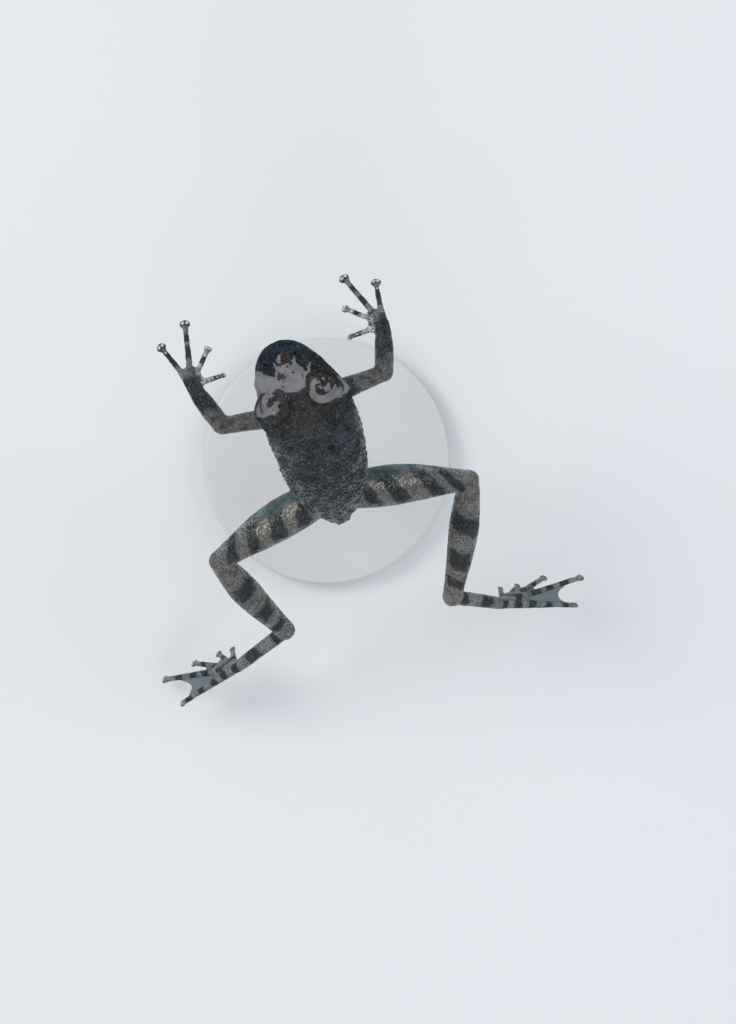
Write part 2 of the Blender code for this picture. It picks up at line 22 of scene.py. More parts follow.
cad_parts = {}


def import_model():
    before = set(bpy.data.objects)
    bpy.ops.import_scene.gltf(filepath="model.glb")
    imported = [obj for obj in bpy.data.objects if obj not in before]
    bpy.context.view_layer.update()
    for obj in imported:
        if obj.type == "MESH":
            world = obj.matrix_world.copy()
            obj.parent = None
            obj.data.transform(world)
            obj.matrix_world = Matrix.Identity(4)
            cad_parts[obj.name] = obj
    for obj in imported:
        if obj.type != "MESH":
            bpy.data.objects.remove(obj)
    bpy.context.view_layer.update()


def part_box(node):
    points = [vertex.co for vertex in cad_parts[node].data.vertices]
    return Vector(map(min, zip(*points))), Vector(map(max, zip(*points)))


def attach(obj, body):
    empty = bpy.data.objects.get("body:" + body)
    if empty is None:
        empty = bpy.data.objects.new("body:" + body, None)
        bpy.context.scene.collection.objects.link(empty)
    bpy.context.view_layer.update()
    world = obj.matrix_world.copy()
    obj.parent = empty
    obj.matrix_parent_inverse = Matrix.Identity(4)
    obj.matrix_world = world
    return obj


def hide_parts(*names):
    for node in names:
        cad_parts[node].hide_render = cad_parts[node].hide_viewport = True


LOG = logging.getLogger("frog")
METRES = 0.001
FAR = 1e9
TINY = 1e-6
Array = np.ndarray
Fields = dict[str, np.ndarray]
Mesh = bpy.types.Mesh
Material = bpy.types.Material
Piece = bpy.types.Object
Angles = tuple[float, float]
Span = tuple[float, float]
Triple = tuple[float, float, float]
Pairs = tuple[tuple[float, float], ...]
Outline = tuple[float, ...]

# Outlines of the head's markings, X and Y in turn, in millimetres on a level plan at HEAD_HEIGHT
# that is seen from VIEWPOINT, high over the frog.
HEAD_HEIGHT = 46.0
VIEWPOINT = (-2.87, 7.53, 335.0)
# The pale marks are painted reflections of the sky on the wet skin of the head.
GLARE_MARKS: tuple[Outline, ...] = (
    (4.23, -10.38, 3.41, -10.17, 3.17, -9.87, 2.83, -9.54, 2.47, -9.28, 2.16, -9.04, 2.01, -9.16,
     1.95, -9.53, 1.75, -9.8, 1.73, -10.01, 1.8, -10.32, 1.84, -10.55, 1.67, -10.55, 1.62, -10.2,
     1.5, -10.05, 1.28, -10.03, 1, -10.05, 0.65, -10.09, 0.42, -10.11, 0.22, -9.86, 0.1, -9.71,
     -0.14, -9.96, -0.08, -10.26, -0.28, -10.36, -0.54, -10.56, -0.56, -10.27, -0.46, -10.08, -0.58,
     -9.76, -0.77, -9.48, -1.01, -9.18, -1.11, -8.81, -1.28, -8.65, -1.47, -8.81, -1.64, -9.25,
     -1.93, -9.46, -1.86, -9.07, -1.73, -8.72, -1.51, -8.51, -1.18, -8.34, -0.97, -8.02, -0.83,
     -7.62, -0.75, -7.26, -0.35, -7, 0.23, -6.91, 0.77, -6.97, 1.28, -7.11, 1.65, -7.34, 1.9, -7.62,
     2.16, -7.83, 2.45, -7.82, 2.7, -7.71, 2.92, -7.5, 2.9, -7.27, 3.12, -7.12, 3.37, -7.2, 3.57,
     -6.93, 4.03, -6.53, 4.56, -5.59, 5.13, -5.55, 5.67, -5.95, 5.39, -8.19),
    (0.91, -11.5, 0.84, -11.23, 0.85, -10.84, 1, -10.61, 1.01, -10.34, 1.21, -10.26, 1.35, -10.5,
     1.47, -10.71, 1.34, -10.95, 1.07, -11.19),
    (4.48, -7.56, 3.77, -7, 3.73, -6.6, 3.65, -6.18, 3.32, -6.32, 3.11, -6.34, 3, -6.69, 2.79,
     -6.59, 2.49, -6.63, 2.54, -6.27, 2.81, -6.1, 2.7, -5.73, 2.98, -5.48, 3.36, -5.35, 3.82, -5.48,
     4.31, -5.34, 4.73, -5.42, 4.97, -6.39),
    (-1.6, -7.65, -1.87, -7.73, -2.05, -7.49, -2.02, -7.23, -1.76, -7.04, -1.56, -6.77, -1.55,
     -6.39, -1.65, -6.02, -1.91, -5.79, -2.26, -5.67, -2.61, -5.71, -2.91, -5.94, -3.16, -6.03,
     -3.49, -6.2, -3.74, -6.51, -3.79, -6.33, -3.94, -5.87, -4.22, -5.52, -4.34, -5.14, -3.92,
     -4.95, -3.39, -5.03, -2.93, -4.99, -2.43, -4.81, -1.99, -4.84, -1.51, -5.06, -1.17, -5.4,
     -0.86, -5.83, -0.79, -6.35, -1.09, -6.87, -1.31, -7.35),
    (-1.98, -7.36, -2.2, -7.37, -2.33, -7.19, -2.24, -6.99, -2, -7, -1.91, -7.16),
    (-1.89, -6.77, -2.2, -6.84, -2.33, -6.65, -2.48, -6.53, -2.76, -6.53, -2.91, -6.72, -3.13,
     -6.82, -3.29, -6.68, -3.17, -6.47, -3.2, -6.24, -3.14, -5.98, -2.79, -5.93, -2.54, -6.03,
     -2.42, -6.33, -2.13, -6.46),
    (-2.44, -7.48, -2.76, -7.55, -2.96, -7.31, -2.82, -7.2, -2.62, -7.3),
    (-4.22, -7.23, -4.79, -6.94, -5.23, -6.58, -5.34, -6.05, -5.17, -5.54, -4.54, -5.14, -4.29,
     -5.22, -4.05, -5.71, -3.93, -6.08, -4.15, -6.38, -4.22, -6.8),
)
DARK_DOTS: tuple[Outline, ...] = (
    (1.61, -9.86, 1.58, -9.52, 1.37, -9.23, 1.07, -9.13, 1.04, -8.9, 0.94, -8.59, 1.24, -8.61, 1.51,
     -8.65, 1.86, -8.61, 1.96, -8.81, 1.82, -9.15, 1.7, -9.33),
    (0.57, -9.93, 0.39, -9.86, 0.44, -9.64, 0.59, -9.6, 0.65, -9.75),
    (0.23, -9.14, 0.04, -9.13, -0.07, -8.93, 0.09, -8.79, 0.28, -8.9),
    (-0.22, -9.33, -0.28, -9.23, -0.18, -9.1, -0.13, -9.2),
    (-0.7, -8.54, -0.81, -8.5, -0.85, -8.22, -0.77, -8.17, -0.69, -8.3),
    (1.43, -8.51, 1.31, -8.45, 1.37, -8.25, 1.5, -8.28),
    (1.71, -8, 1.5, -7.98, 1.51, -7.77, 1.69, -7.74, 1.78, -7.87),
    (-1.12, -9.03, -1.45, -9, -1.49, -8.8, -1.28, -8.66, -1.13, -8.77),
    (3.45, -6.84, 3.21, -6.84, 3.07, -6.61, 3.21, -6.39, 3.45, -6.45, 3.54, -6.67),
    (3.82, -6.85, 3.69, -6.75, 3.7, -6.53, 3.59, -6.25, 3.68, -6.12, 3.81, -6.34, 3.89, -6.57),
    (3.4, -5.99, 3.27, -5.94, 3.33, -5.74, 3.47, -5.79),
    (-4.26, -6.62, -4.4, -6.57, -4.39, -6.4, -4.43, -6.17, -4.28, -5.95, -4.16, -6.09),
)
BROWN_MARKS: tuple[Outline, ...] = (
    (0.72, -11.41, 0.34, -11.4, 0.05, -11.25, -0.1, -10.87, -0.14, -10.46, -0.14, -10.02, 0.11,
     -9.76, 0.25, -9.94, 0.42, -10.12, 0.64, -10.11, 0.99, -10.08, 1.3, -10.04, 1.59, -10.19, 1.63,
     -10.5, 1.55, -10.65, 1.27, -10.24, 0.95, -10.36, 0.87, -10.85),
    (-1.06, -8.22, -1.39, -8.49, -1.76, -8.59, -2.2, -8.4, -2.58, -8.01, -2.68, -7.64, -2.23, -7.47,
     -2.02, -7.73, -1.69, -7.77, -1.38, -7.5, -1.1, -6.98, -0.84, -6.78, -0.76, -7.09, -0.85, -7.61),
)
MUZZLE_MARK: tuple[Outline, ...] = (
    (3.56, -14.84, 4.94, -10.61, 3.41, -10.17, 3.17, -9.87, 2.83, -9.54, 2.47, -9.28, 2.16, -9.04,
     1.78, -9.36, 1.38, -9.9, -0.8, -9.41, -1.16, -8.8, -1.61, -8.82, -1.8, -8.7, -2.45, -8.32,
     -3.29, -8.16, -3.71, -7.74, -4.2, -7.19, -5.08, -7.13, -6.04, -8.38, -7.02, -11.4),
)
# Ovals on a level plan, each as its middle and its two radii.
BLOT = ((-1.27, -0.16), (0.435, 0.29))
NAPE = ((0.6, -6.2), (2.2, 0.75))
# The shoulder's oval is painted shade behind the root of each arm.
SHOULDER_SHADE = ((5.2, -4.8), (1.0, 1.5))

# Ridges and furrows of the skin, each as its height, its distance from a line or spot, its width.
LIPS = ((0.11, 0.34, 0.2), (-0.17, 0.0, 0.11))
NOSTRIL_RIM = ((0.09, 0.28, 0.14), (-0.30, 0.0, 0.12))
SNOUT_RIDGE = ((0.16, 0.0, 0.42),)
CHEEK_HOLLOW = ((-0.22, 0.0, 0.75),)
EARDRUM_RIM = ((0.09, 0.8, 0.15),)
EAR_FOLD = ((0.2, 0.0, 0.26), (-0.07, 0.45, 0.15))
EARDRUM_SINK = 0.10
EARDRUM_EDGE = (0.75, 0.55)

# Grains of the skin, each as its bumps for each millimetre, its seed and its height.
LUMPS = ((0.55, 3.0, 0.08), (1.6, 9.0, 0.025))
FINE_GRAIN = (3.1, 17.0, 0.035)
LIMB_GRAIN = (1.3, 27.0, 0.035)
WARTS = (2.3, 41.0, 0.34)
LEAST_WART = 0.0408


class Side(Enum):
    """One side of the frog, by the sign of its X."""

    RIGHT = -1
    LEFT = 1

    @property
    def label(self) -> str:
        """The side's word in node names."""
        return self.name.lower()

    def angle(self, degrees: float) -> float:
        """Return an angle round the body, given for the left side, on this side."""
        return degrees if self is Side.LEFT else 180 - degrees


# The middle and half width of each dark bar, by share of the thigh's length.
THIGH_BARS: dict[Side, Pairs] = {
    Side.RIGHT: ((0.10, 0.050), (0.33, 0.062), (0.64, 0.054), (0.85, 0.046)),
    Side.LEFT: ((0.12, 0.050), (0.36, 0.058), (0.605, 0.048), (0.83, 0.048)),
}


class Part(Enum):
    """What a stretch of limb belongs to."""

    ARM = 1
    HAND = 2
    FINGER = 3
    THIGH = 4
    SHANK = 5
    TARSUS = 6
    TOE = 7


@dataclass(frozen=True)
class Coat:
    """How dark a part's gaps are, what its bars add, its pale dots, its blue and whether it gets a
    painted rim highlight.
    """

    gaps: float = 0.0
    bars: float = 1.0
    dots: float = 0.2
    cool: float = 0.0
    rim_highlit: bool = True


COATS: dict[Part, Coat] = {
    Part.ARM: Coat(0.38, 0.54, 0.36),
    Part.HAND: Coat(0.40, 0.50, cool=0.45, rim_highlit=False),
    Part.FINGER: Coat(cool=0.6, rim_highlit=False),
    Part.THIGH: Coat(),
    Part.SHANK: Coat(),
    Part.TARSUS: Coat(bars=0.88, cool=0.6),
    Part.TOE: Coat(bars=0.88, dots=0.35, cool=1.0, rim_highlit=False),
}


def step(values: Array | float, low: float, high: float) -> Array:
    """Rise smoothly from 0 at low to 1 at high.

    Args:
        values: Numbers to map.
        low: Where the rise starts.
        high: Where it ends, which may be under low for a fall.

    Returns:
        An array of the same shape.
    """
    share = np.clip((values - low) / (high - low), 0.0, 1.0)
    return share * share * (3 - 2 * share)


def bell(values: Array, centre: float, width: float) -> Array:
    """Return a soft bump of height 1 at centre."""
    return np.exp(-(((values - centre) / width) ** 2))


def oval(plan: Array, centre: Span, radii: Span) -> Array:
    """Return a soft oval on a plan, of height 1 at its centre."""
    return bell(np.linalg.norm((plan - centre) / radii, axis=1), 0.0, 1.0)


def relief(gap: Array, ridges: Sequence[Triple]) -> Array:
    """Return the height that ridges and furrows give at distances from their line or spot."""
    return sum(height * bell(gap, at, width) for height, at, width in ridges)


def line_gap(points: Array, line: Sequence[Sequence[float]]) -> Array:
    """Measure how far points are from a line, in space or on a plan.

    Args:
        points: Rows of places.
        line: The line's corners.

    Returns:
        The distance to the nearest place on the line.
    """
    gap = np.full(len(points), FAR)
    for start, end in pairwise(np.array(line)):
        way = end - start
        share = np.clip((points - start) @ way / (way @ way), 0.0, 1.0)
        gap = np.minimum(gap, np.linalg.norm(points - start - share[:, None] * way, axis=1))
    return gap


def depth_inside(plan: Array, outline: Outline) -> Array:
    """Measure how deep points on a plan lie inside an outline.

    Args:
        plan: The points' X and Y.
        outline: Corners of a closed outline.

    Returns:
        The distance to the outline, negative outside it.
    """
    corners = np.array(outline + outline[:2]).reshape(-1, 2)
    x, y = plan.T
    inside = np.zeros(len(plan), dtype=bool)
    for (ax, ay), (bx, by) in pairwise(corners):
        if ay != by:
            inside ^= ((ay > y) != (by > y)) & (x < ax + (y - ay) * (bx - ax) / (by - ay))
    gap = line_gap(plan, corners)
    return np.where(inside, gap, -gap)


def plan_of(points: Array) -> Array:
    """Return X and Y on the head's plan of points, as they look from the viewpoint."""
    share = (VIEWPOINT[2] - HEAD_HEIGHT) / (VIEWPOINT[2] - points[:, 2:])
    return VIEWPOINT[:2] + (points[:, :2] - VIEWPOINT[:2]) * share


def aim(side: Side, heading: float, droop: float) -> Vector:
    """Return the direction of a limb.

    Args:
        side: The side that the limb is on.
        heading: Degrees from straight ahead towards that side.
        droop: Degrees below level.

    Returns:
        A unit vector.
    """
    turn, fall = math.radians(heading), math.radians(droop)
    level = math.cos(fall)
    return Vector((side.value * math.sin(turn) * level, -math.cos(turn) * level, -math.sin(fall)))


def mesh_of(bm: bmesh.types.BMesh, name: str) -> Mesh:
    """Turn a bmesh into a new mesh, and free it.

    Args:
        bm: The bmesh.
        name: Name of the mesh.

    Returns:
        The mesh.
    """
    mesh = bpy.data.meshes.new(name)
    bm.to_mesh(mesh)
    bm.free()
    return mesh


def put(name: str, data: bpy.types.ID) -> Piece:
    """Put an object in the scene.

    Args:
        name: Its name.
        data: Its mesh, light or camera.

    Returns:
        The object.
    """
    made = bpy.data.objects.new(name, data)
    bpy.context.scene.collection.objects.link(made)
    return made


def mark(mesh: Mesh, name: str, values: Array) -> None:
    """Store one number for each point of a mesh, for its finish to read."""
    layer = mesh.attributes.new(name, "FLOAT", "POINT")
    layer.data.foreach_set("value", values.astype(np.float32))


def place_piece(mesh: Mesh, finish: Material, nodes: Sequence[str]) -> Piece:
    """Turn a mesh in millimetres into a finished piece.

    Args:
        mesh: The piece's mesh.
        finish: Its material.
        nodes: The CAD nodes that it stands for.

    Returns:
        The new object.
    """
    mesh.transform(Matrix.Scale(METRES, 4))
    mesh.materials.clear()
    mesh.materials.append(finish)
    mesh.shade_smooth()
    piece = put(mesh.name, mesh)
    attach(piece, "root")
    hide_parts(*nodes)
    LOG.info("%s: %d faces", piece.name, len(mesh.polygons))
    return piece


@dataclass(frozen=True)
class BodyForm:
    """The head and trunk as sections along a bent spine, in millimetres and degrees.

    Angles are the head's and then the trunk's. A section is its distance from the snout's tip, half
    its width, its height over the spine and its depth under it.
    """

    snout: Triple = (1.05, -12.35, 46.6)
    yaw: Angles = (8.0, -3.0)
    pitch: Angles = (34.0, 56.0)
    roll: Angles = (8.0, 3.0)
    bend: Span = (8.0, 14.0)
    stride: float = 0.25
    squareness: float = 2.25
    sections: tuple[tuple[float, float, float, float], ...] = (
        (0.00, 0.70, 0.30, 0.35),
        (0.30, 1.50, 0.65, 0.75),
        (1.00, 2.35, 1.05, 1.10),
        (2.20, 3.15, 1.40, 1.50),
        (4.00, 3.95, 1.65, 1.90),
        (6.00, 4.60, 1.80, 2.30),
        (8.30, 5.10, 2.05, 2.70),
        (10.5, 5.05, 2.35, 3.00),
        (13.0, 5.05, 2.70, 3.40),
        (17.0, 4.90, 3.00, 3.75),
        (21.0, 4.45, 2.90, 3.50),
        (24.0, 3.70, 2.60, 2.95),
        (26.4, 2.70, 2.00, 2.45),
        (28.4, 1.65, 1.40, 1.75),
        (29.7, 0.98, 0.80, 1.00),
        (30.4, 0.50, 0.40, 0.50),
    )

    @property
    def length(self) -> float:
        """The distance from the snout's tip to the vent along the spine."""
        return self.sections[-1][0]

    def turned(self, angles: Angles, station: float) -> float:
        """Return an angle at a station, which the neck turns from the head's to the trunk's."""
        return angles[0] + (angles[1] - angles[0]) * float(step(station, *self.bend))

    def forward(self, station: float, lean: float = 0.0) -> Vector:
        """Return the way ahead along the spine.

        Args:
            station: Distance from the snout.
            lean: Degrees that the direction is leant back.

        Returns:
            A unit vector.
        """
        yaw = math.radians(self.turned(self.yaw, station))
        pitch = math.radians(self.turned(self.pitch, station) + lean)
        level = Vector((math.sin(yaw), -math.cos(yaw), 0.0))
        return level * math.cos(pitch) + Vector((0.0, 0.0, math.sin(pitch)))

    def spine(self, station: float) -> Vector:
        """Return the spine's place.

        Args:
            station: Distance from the snout.

        Returns:
            The place, reached by short strides back from the snout.
        """
        here = Vector(self.snout)
        count = max(1, math.ceil(station / self.stride))
        length = station / count
        for index in range(count):
            here -= self.forward((index + 0.5) * length) * length
        return here

    def axes(self, station: float) -> tuple[Vector, Vector, Vector, Vector]:
        """Return the frame of one section.

        Args:
            station: Distance from the snout.

        Returns:
            The spine's place, and the directions to the left, up and forward.
        """
        forward, up = self.forward(station), self.forward(station, 90.0)
        roll = math.radians(self.turned(self.roll, station))
        turn = Matrix.Rotation(-roll, 3, forward)
        return self.spine(station), turn @ up.cross(forward), turn @ up, forward

    def sizes(self, station: float) -> Triple:
        """Return a section's sizes, on a smooth curve through the given ones.

        Args:
            station: Distance from the snout.

        Returns:
            Half its width, its height and its depth.
        """
        rows = self.sections
        index = 0
        while index < len(rows) - 2 and rows[index + 1][0] <= station:
            index += 1
        before, low = rows[max(0, index - 1)], rows[index]
        high, after = rows[index + 1], rows[min(len(rows) - 1, index + 2)]
        span = high[0] - low[0]
        share = min(1.0, (station - low[0]) / span)
        cube, square = share**3, share**2
        found = []
        for column in (1, 2, 3):
            slope_low = (high[column] - before[column]) / max(TINY, high[0] - before[0])
            slope_high = (after[column] - low[column]) / max(TINY, after[0] - low[0])
            found.append(
                (2 * cube - 3 * square + 1) * low[column]
                + (cube - 2 * square + share) * span * slope_low
                + (3 * square - 2 * cube) * high[column]
                + (cube - square) * span * slope_high
            )
        return found[0], found[1], found[2]

    def ring(self, station: float, angles: Sequence[float]) -> list[Vector]:
        """Return points of the surface round one station.

        Args:
            station: Distance from the snout.
            angles: Degrees, 0 at the left side and 90 at the back.

        Returns:
            One point for each angle.
        """
        here, left, up, _ = self.axes(station)
        half, height, depth = self.sizes(station)
        power = 2 / self.squareness
        points = []
        for angle in angles:
            turn = math.radians(angle)
            across = math.copysign(abs(math.cos(turn)) ** power, math.cos(turn))
            rise = math.copysign(abs(math.sin(turn)) ** power, math.sin(turn))
            offset = left * (across * half) + up * (rise * (height if rise > 0 else depth))
            points.append(here + offset)
        return points

    def surface(self, station: float, angle: float) -> Vector:
        """Return one point of the surface."""
        return self.ring(station, (angle,))[0]


@dataclass(frozen=True)
class LimbForm:
    """One straight stretch of a limb, round-ended and tapered.

    Radii and bars are given at shares of its length. Bars lean by its slant, it bends out by its
    bow, and its thickness is flat times its breadth.
    """

    part: Part
    side: Side
    start: Vector
    end: Vector
    radii: Pairs
    sides: int = 20
    flat: float = 1.0
    broad: Vector | None = None
    bow: Vector = field(default_factory=Vector)
    bars: Pairs = ()
    slant: float = 0.0
    order: int = 0

    @property
    def axis(self) -> Vector:
        """The direction from start to end."""
        return (self.end - self.start).normalized()

    @property
    def length(self) -> float:
        """The distance from start to end."""
        return (self.end - self.start).length

    @property
    def leading(self) -> Vector:
        """The direction of its leading face: ahead, or outwards on the lower leg."""
        lower = self.part in (Part.SHANK, Part.TARSUS)
        ahead = Vector((self.side.value, 0.0, 0.2) if lower else (0.0, -1.0, 0.35))
        return (ahead - self.axis * ahead.dot(self.axis)).normalized()

    def measure(self, points: Array) -> tuple[Array, Array]:
        """Place points against the stretch.

        Args:
            points: Rows of places.

        Returns:
            The share of its length that each is along, and how far outside it each lies.
        """
        start, axis = np.array(self.start), np.array(self.axis)
        share = ((points - start) @ axis) / self.length
        held = np.clip(share, 0.0, 1.0)
        bow = np.array(self.bow) * np.sin(np.pi * held)[:, None]
        gap = np.linalg.norm(points - start - held[:, None] * self.length * axis - bow, axis=1)
        return share, gap - self.radius_at(held)

    def radius_at(self, share: Array) -> Array:
        """Return the radius at shares of the length."""
        return np.interp(share, [row[0] for row in self.radii], [row[1] for row in self.radii])

    def smooth_radius(self, share: float) -> float:
        """Return the radius at one share, rounded where the taper changes."""
        near = np.clip(np.array([share - 0.06, share, share + 0.06]), 0.0, 1.0)
        return float(self.radius_at(near) @ np.array([0.25, 0.5, 0.25]))

    def rings(self) -> list[list[Vector]]:
        """Skin the stretch.

        Returns:
            Rings of points, from its round start to its round end.
        """
        reference = self.broad or Vector((0.0, 0.0, 1.0)).cross(self.axis)
        wide = (reference - self.axis * reference.dot(self.axis)).normalized()
        thick = self.axis.cross(wide)
        count = max(4, round(self.length / 0.45))
        shares = [k / count for k in range(count + 1)]
        middle = [(share * self.length, self.smooth_radius(share)) for share in shares]
        first, last = middle[0][1], middle[-1][1]
        turns = (0.3, 0.65, 1.0, 1.3, 1.5)
        front = [(-first * self.flat * math.sin(t), first * math.cos(t)) for t in turns[::-1]]
        back = [(self.length + last * self.flat * math.sin(t), last * math.cos(t)) for t in turns]
        rings = []
        for along, radius in front + middle + back:
            centre = self.start + self.axis * along
            centre += self.bow * math.sin(math.pi * min(1.0, max(0.0, along / self.length)))
            ring = []
            for k in range(self.sides):
                turn = 2 * math.pi * k / self.sides
                across = wide * (radius * math.cos(turn))
                ring.append(centre + across + thick * (radius * self.flat * math.sin(turn)))
            rings.append(ring)
        return rings


@dataclass(frozen=True)
class LimbPose:
    """Headings and droops of one side's limbs in degrees, and shifts of two joints."""

    side: Side
    upper_arm: Angles
    forearm: Angles
    fingers: tuple[Angles, ...]
    thigh: Angles
    shank: Angles
    tarsus: Angles
    toes: tuple[Angles, ...]
    shoulder_shift: Triple = (0.0, 0.0, 0.0)
    elbow_shift: Triple = (0.0, 0.0, 0.0)


RIGHT_POSE = LimbPose(
    side=Side.RIGHT,
    upper_arm=(79.2, 24.0),
    forearm=(14.1, -8.0),
    fingers=((-91.6, 17.5), (-47.5, 28.2), (-21.1, 26.9), (8.4, 35.5)),
    thigh=(102.5, 17.4),
    shank=(205.3, 25.9),
    tarsus=(116.6, 40.1),
    toes=((15.0, 69.8), (64.0, 63.7), (79.1, 46.7), (91.3, 34.7), (110.1, 26.6)),
    shoulder_shift=(-0.28, -0.88, 0.0),
    elbow_shift=(0.18, -0.26, 0.0),
)
LEFT_POSE = LimbPose(
    side=Side.LEFT,
    upper_arm=(81.7, 2.0),
    forearm=(18.5, -6.0),
    fingers=((-88.5, 28.5), (-39.0, 33.5), (-10.2, 25.2), (21.2, 24.8)),
    thigh=(104.1, 19.9),
    shank=(203.4, 43.0),
    tarsus=(109.6, 21.3),
    toes=((0.0, 63.0), (41.1, 64.1), (69.9, 51.6), (83.7, 40.9), (106.1, 34.6)),
)


class Mould:
    """Closed shapes gathered in one bmesh before they are skinned over."""

    def __init__(self) -> None:
        """Start with no shapes."""
        self.bm = bmesh.new()

    def tube(self, rings: Sequence[Sequence[Vector]]) -> None:
        """Extrude a circle through rings of points and cap both ends.

        Args:
            rings: Rings with the same count of points.
        """
        bm = self.bm
        circle = bmesh.ops.create_circle(bm, cap_ends=False, segments=len(rings[0]), radius=1.0)
        row = list(circle["verts"])
        for vert, point in zip(row, rings[0]):
            vert.co = point
        first_edges = edges = list({edge for vert in row for edge in vert.link_edges})
        for ring in rings[1:]:
            made = bmesh.ops.extrude_edge_only(bm, edges=edges)["geom"]
            fresh = {item for item in made if isinstance(item, bmesh.types.BMVert)}
            lines = [item for item in made if isinstance(item, bmesh.types.BMEdge)]
            edges = [line for line in lines if all(vert in fresh for vert in line.verts)]
            following = []
            for vert, point in zip(row, ring):
                others = (edge.other_vert(vert) for edge in vert.link_edges)
                above = next(other for other in others if other in fresh)
                above.co = point
                following.append(above)
            row = following
        for loop in (first_edges, edges):
            bmesh.ops.contextual_create(bm, geom=loop)

    def ball(
        self,
        centre: Vector,
        radius: float,
        axes: tuple[Vector, Vector] | None = None,
        stretch: Triple = (1.0, 1.0, 1.0),
    ) -> None:
        """Add a ball.

        Args:
            centre: Its centre.
            radius: Its radius.
            axes: Directions of its length and its thickness, for one that isn't round.
            stretch: Its breadth, length and thickness against the radius.
        """
        made = bmesh.ops.create_icosphere(self.bm, subdivisions=3, radius=radius)["verts"]
        bmesh.ops.scale(self.bm, vec=stretch, verts=made)
        if axes is not None:
            along, face = axes
            frame = Matrix((along.cross(face), along, face)).transposed()
            bmesh.ops.rotate(self.bm, cent=(0, 0, 0), matrix=frame, verts=made)
        bmesh.ops.translate(self.bm, vec=centre, verts=made)

    def remeshed(self, name: str, voxel: float) -> Mesh:
        """Merge every shape into one even skin.

        Args:
            name: Name of the new mesh.
            voxel: Size of the skin's faces.

        Returns:
            The mesh, still in millimetres.
        """
        bmesh.ops.recalc_face_normals(self.bm, faces=self.bm.faces)
        mesh = mesh_of(self.bm, name)
        holder = put(name, mesh)
        cover = holder.modifiers.new("cover", "REMESH")
        cover.mode = "VOXEL"
        cover.voxel_size = voxel
        graph = bpy.context.evaluated_depsgraph_get()
        skin = bpy.data.meshes.new_from_object(holder.evaluated_get(graph))
        bpy.data.objects.remove(holder)
        bpy.data.meshes.remove(mesh)
        skin.name = name
        return skin


class Surface:
    """A mesh's points as arrays, for shaping and marking."""

    def __init__(self, mesh: Mesh) -> None:
        """Read a mesh.

        Args:
            mesh: The mesh to shape.
        """
        self.mesh = mesh
        self.count = len(mesh.vertices)
        flat = np.empty(self.count * 3)
        mesh.vertices.foreach_get("co", flat)
        self.points = flat.reshape(-1, 3)
        edges = np.empty(len(mesh.edges) * 2, dtype=np.int64)
        mesh.edges.foreach_get("vertices", edges)
        self.edges = edges.reshape(-1, 2)
        self.degree = np.bincount(self.edges.ravel(), minlength=self.count).clip(1)

    def write(self) -> None:
        """Put the points back in the mesh."""
        self.mesh.vertices.foreach_set("co", self.points.ravel())
        self.mesh.update()

    def normals(self) -> Array:
        """Write the points back.

        Returns:
            The outward normals there.
        """
        self.write()
        flat = np.empty(self.count * 3)
        self.mesh.vertices.foreach_get("normal", flat)
        return flat.reshape(-1, 3)

    def mean_of_neighbours(self, values: Array) -> Array:
        """Average each point's neighbours.

        Args:
            values: Columns of numbers for every point.

        Returns:
            The means, in the same columns.
        """
        first, second = self.edges[:, 0], self.edges[:, 1]
        columns = []
        for column in values.T:
            total = np.bincount(first, column[second], self.count)
            total += np.bincount(second, column[first], self.count)
            columns.append(total / self.degree)
        return np.stack(columns, axis=1)

    def spread(self, values: Array, rounds: int) -> Array:
        """Blur a field over its neighbours.

        Args:
            values: A number for every point.
            rounds: How many times.

        Returns:
            The blurred field.
        """
        for _ in range(rounds):
            values = (values + self.mean_of_neighbours(values[:, None])[:, 0]) / 2
        return values

    def relax(self, weight: Array | float, rounds: int) -> None:
        """Smooth the points.

        Args:
            weight: Share of the way to the neighbours' mean, for each point or for all.
            rounds: How many times.
        """
        share = np.broadcast_to(np.asarray(weight, float), (self.count,))[:, None]
        for _ in range(rounds):
            self.points += (self.mean_of_neighbours(self.points) - self.points) * share

    def gap(self, place: Vector) -> Array:
        """Return the distance from each point to a place."""
        return np.linalg.norm(self.points - np.array(place), axis=1)

    def spot(self, place: Vector, width: float) -> Array:
        """Return a soft spot of height 1 round a place."""
        return bell(self.gap(place), 0.0, width)

    def grain(self, scale: float, seed: float, height: float) -> Array:
        """Return smooth noise at each point.

        Args:
            scale: Bumps for each millimetre.
            seed: Offset that tells one field from another.
            height: The bumps' greatest height.

        Returns:
            Numbers from -height to height.
        """
        shift = Vector((seed, seed * 0.7, seed * 1.3))
        bumps = [noise.noise(Vector(point) * scale + shift) for point in self.points]
        return np.array(bumps) * height


class Number:
    """A number in a finish's nodes that Python's operators work on."""

    def __init__(self, finish: Shader, socket: bpy.types.NodeSocket) -> None:
        """Wrap an output of a finish's nodes."""
        self.finish = finish
        self.socket = socket

    def sum(self, operation: str, *values: Number | float) -> Number:
        """Return the result of a Math node on these values."""
        return self.finish.node("ShaderNodeMath", {"operation": operation}, dict(enumerate(values)))

    def __add__(self, other: Number | float) -> Number:
        """Add."""
        return self.sum("ADD", self, other)

    def __sub__(self, other: Number | float) -> Number:
        """Take away."""
        return self.sum("SUBTRACT", self, other)

    def __rsub__(self, other: float) -> Number:
        """Take away from a plain number."""
        return self.sum("SUBTRACT", other, self)

    def __mul__(self, other: Number | float) -> Number:
        """Multiply."""
        return self.sum("MULTIPLY", self, other)

    __radd__ = __add__
    __rmul__ = __mul__

    def most(self, other: Number | float) -> Number:
        """Return the larger of two numbers."""
        return self.sum("MAXIMUM", self, other)

    def rise(self, low: float, high: float) -> Number:
        """Rise smoothly from 0 at low to 1 at high."""
        inputs = {"Value": self, "From Min": low, "From Max": high}
        return self.finish.node("ShaderNodeMapRange", {"interpolation_type": "SMOOTHSTEP"}, inputs)

    def fall(self, low: float, high: float) -> Number:
        """Fall smoothly from 1 at low to 0 at high."""
        return 1.0 - self.rise(low, high)


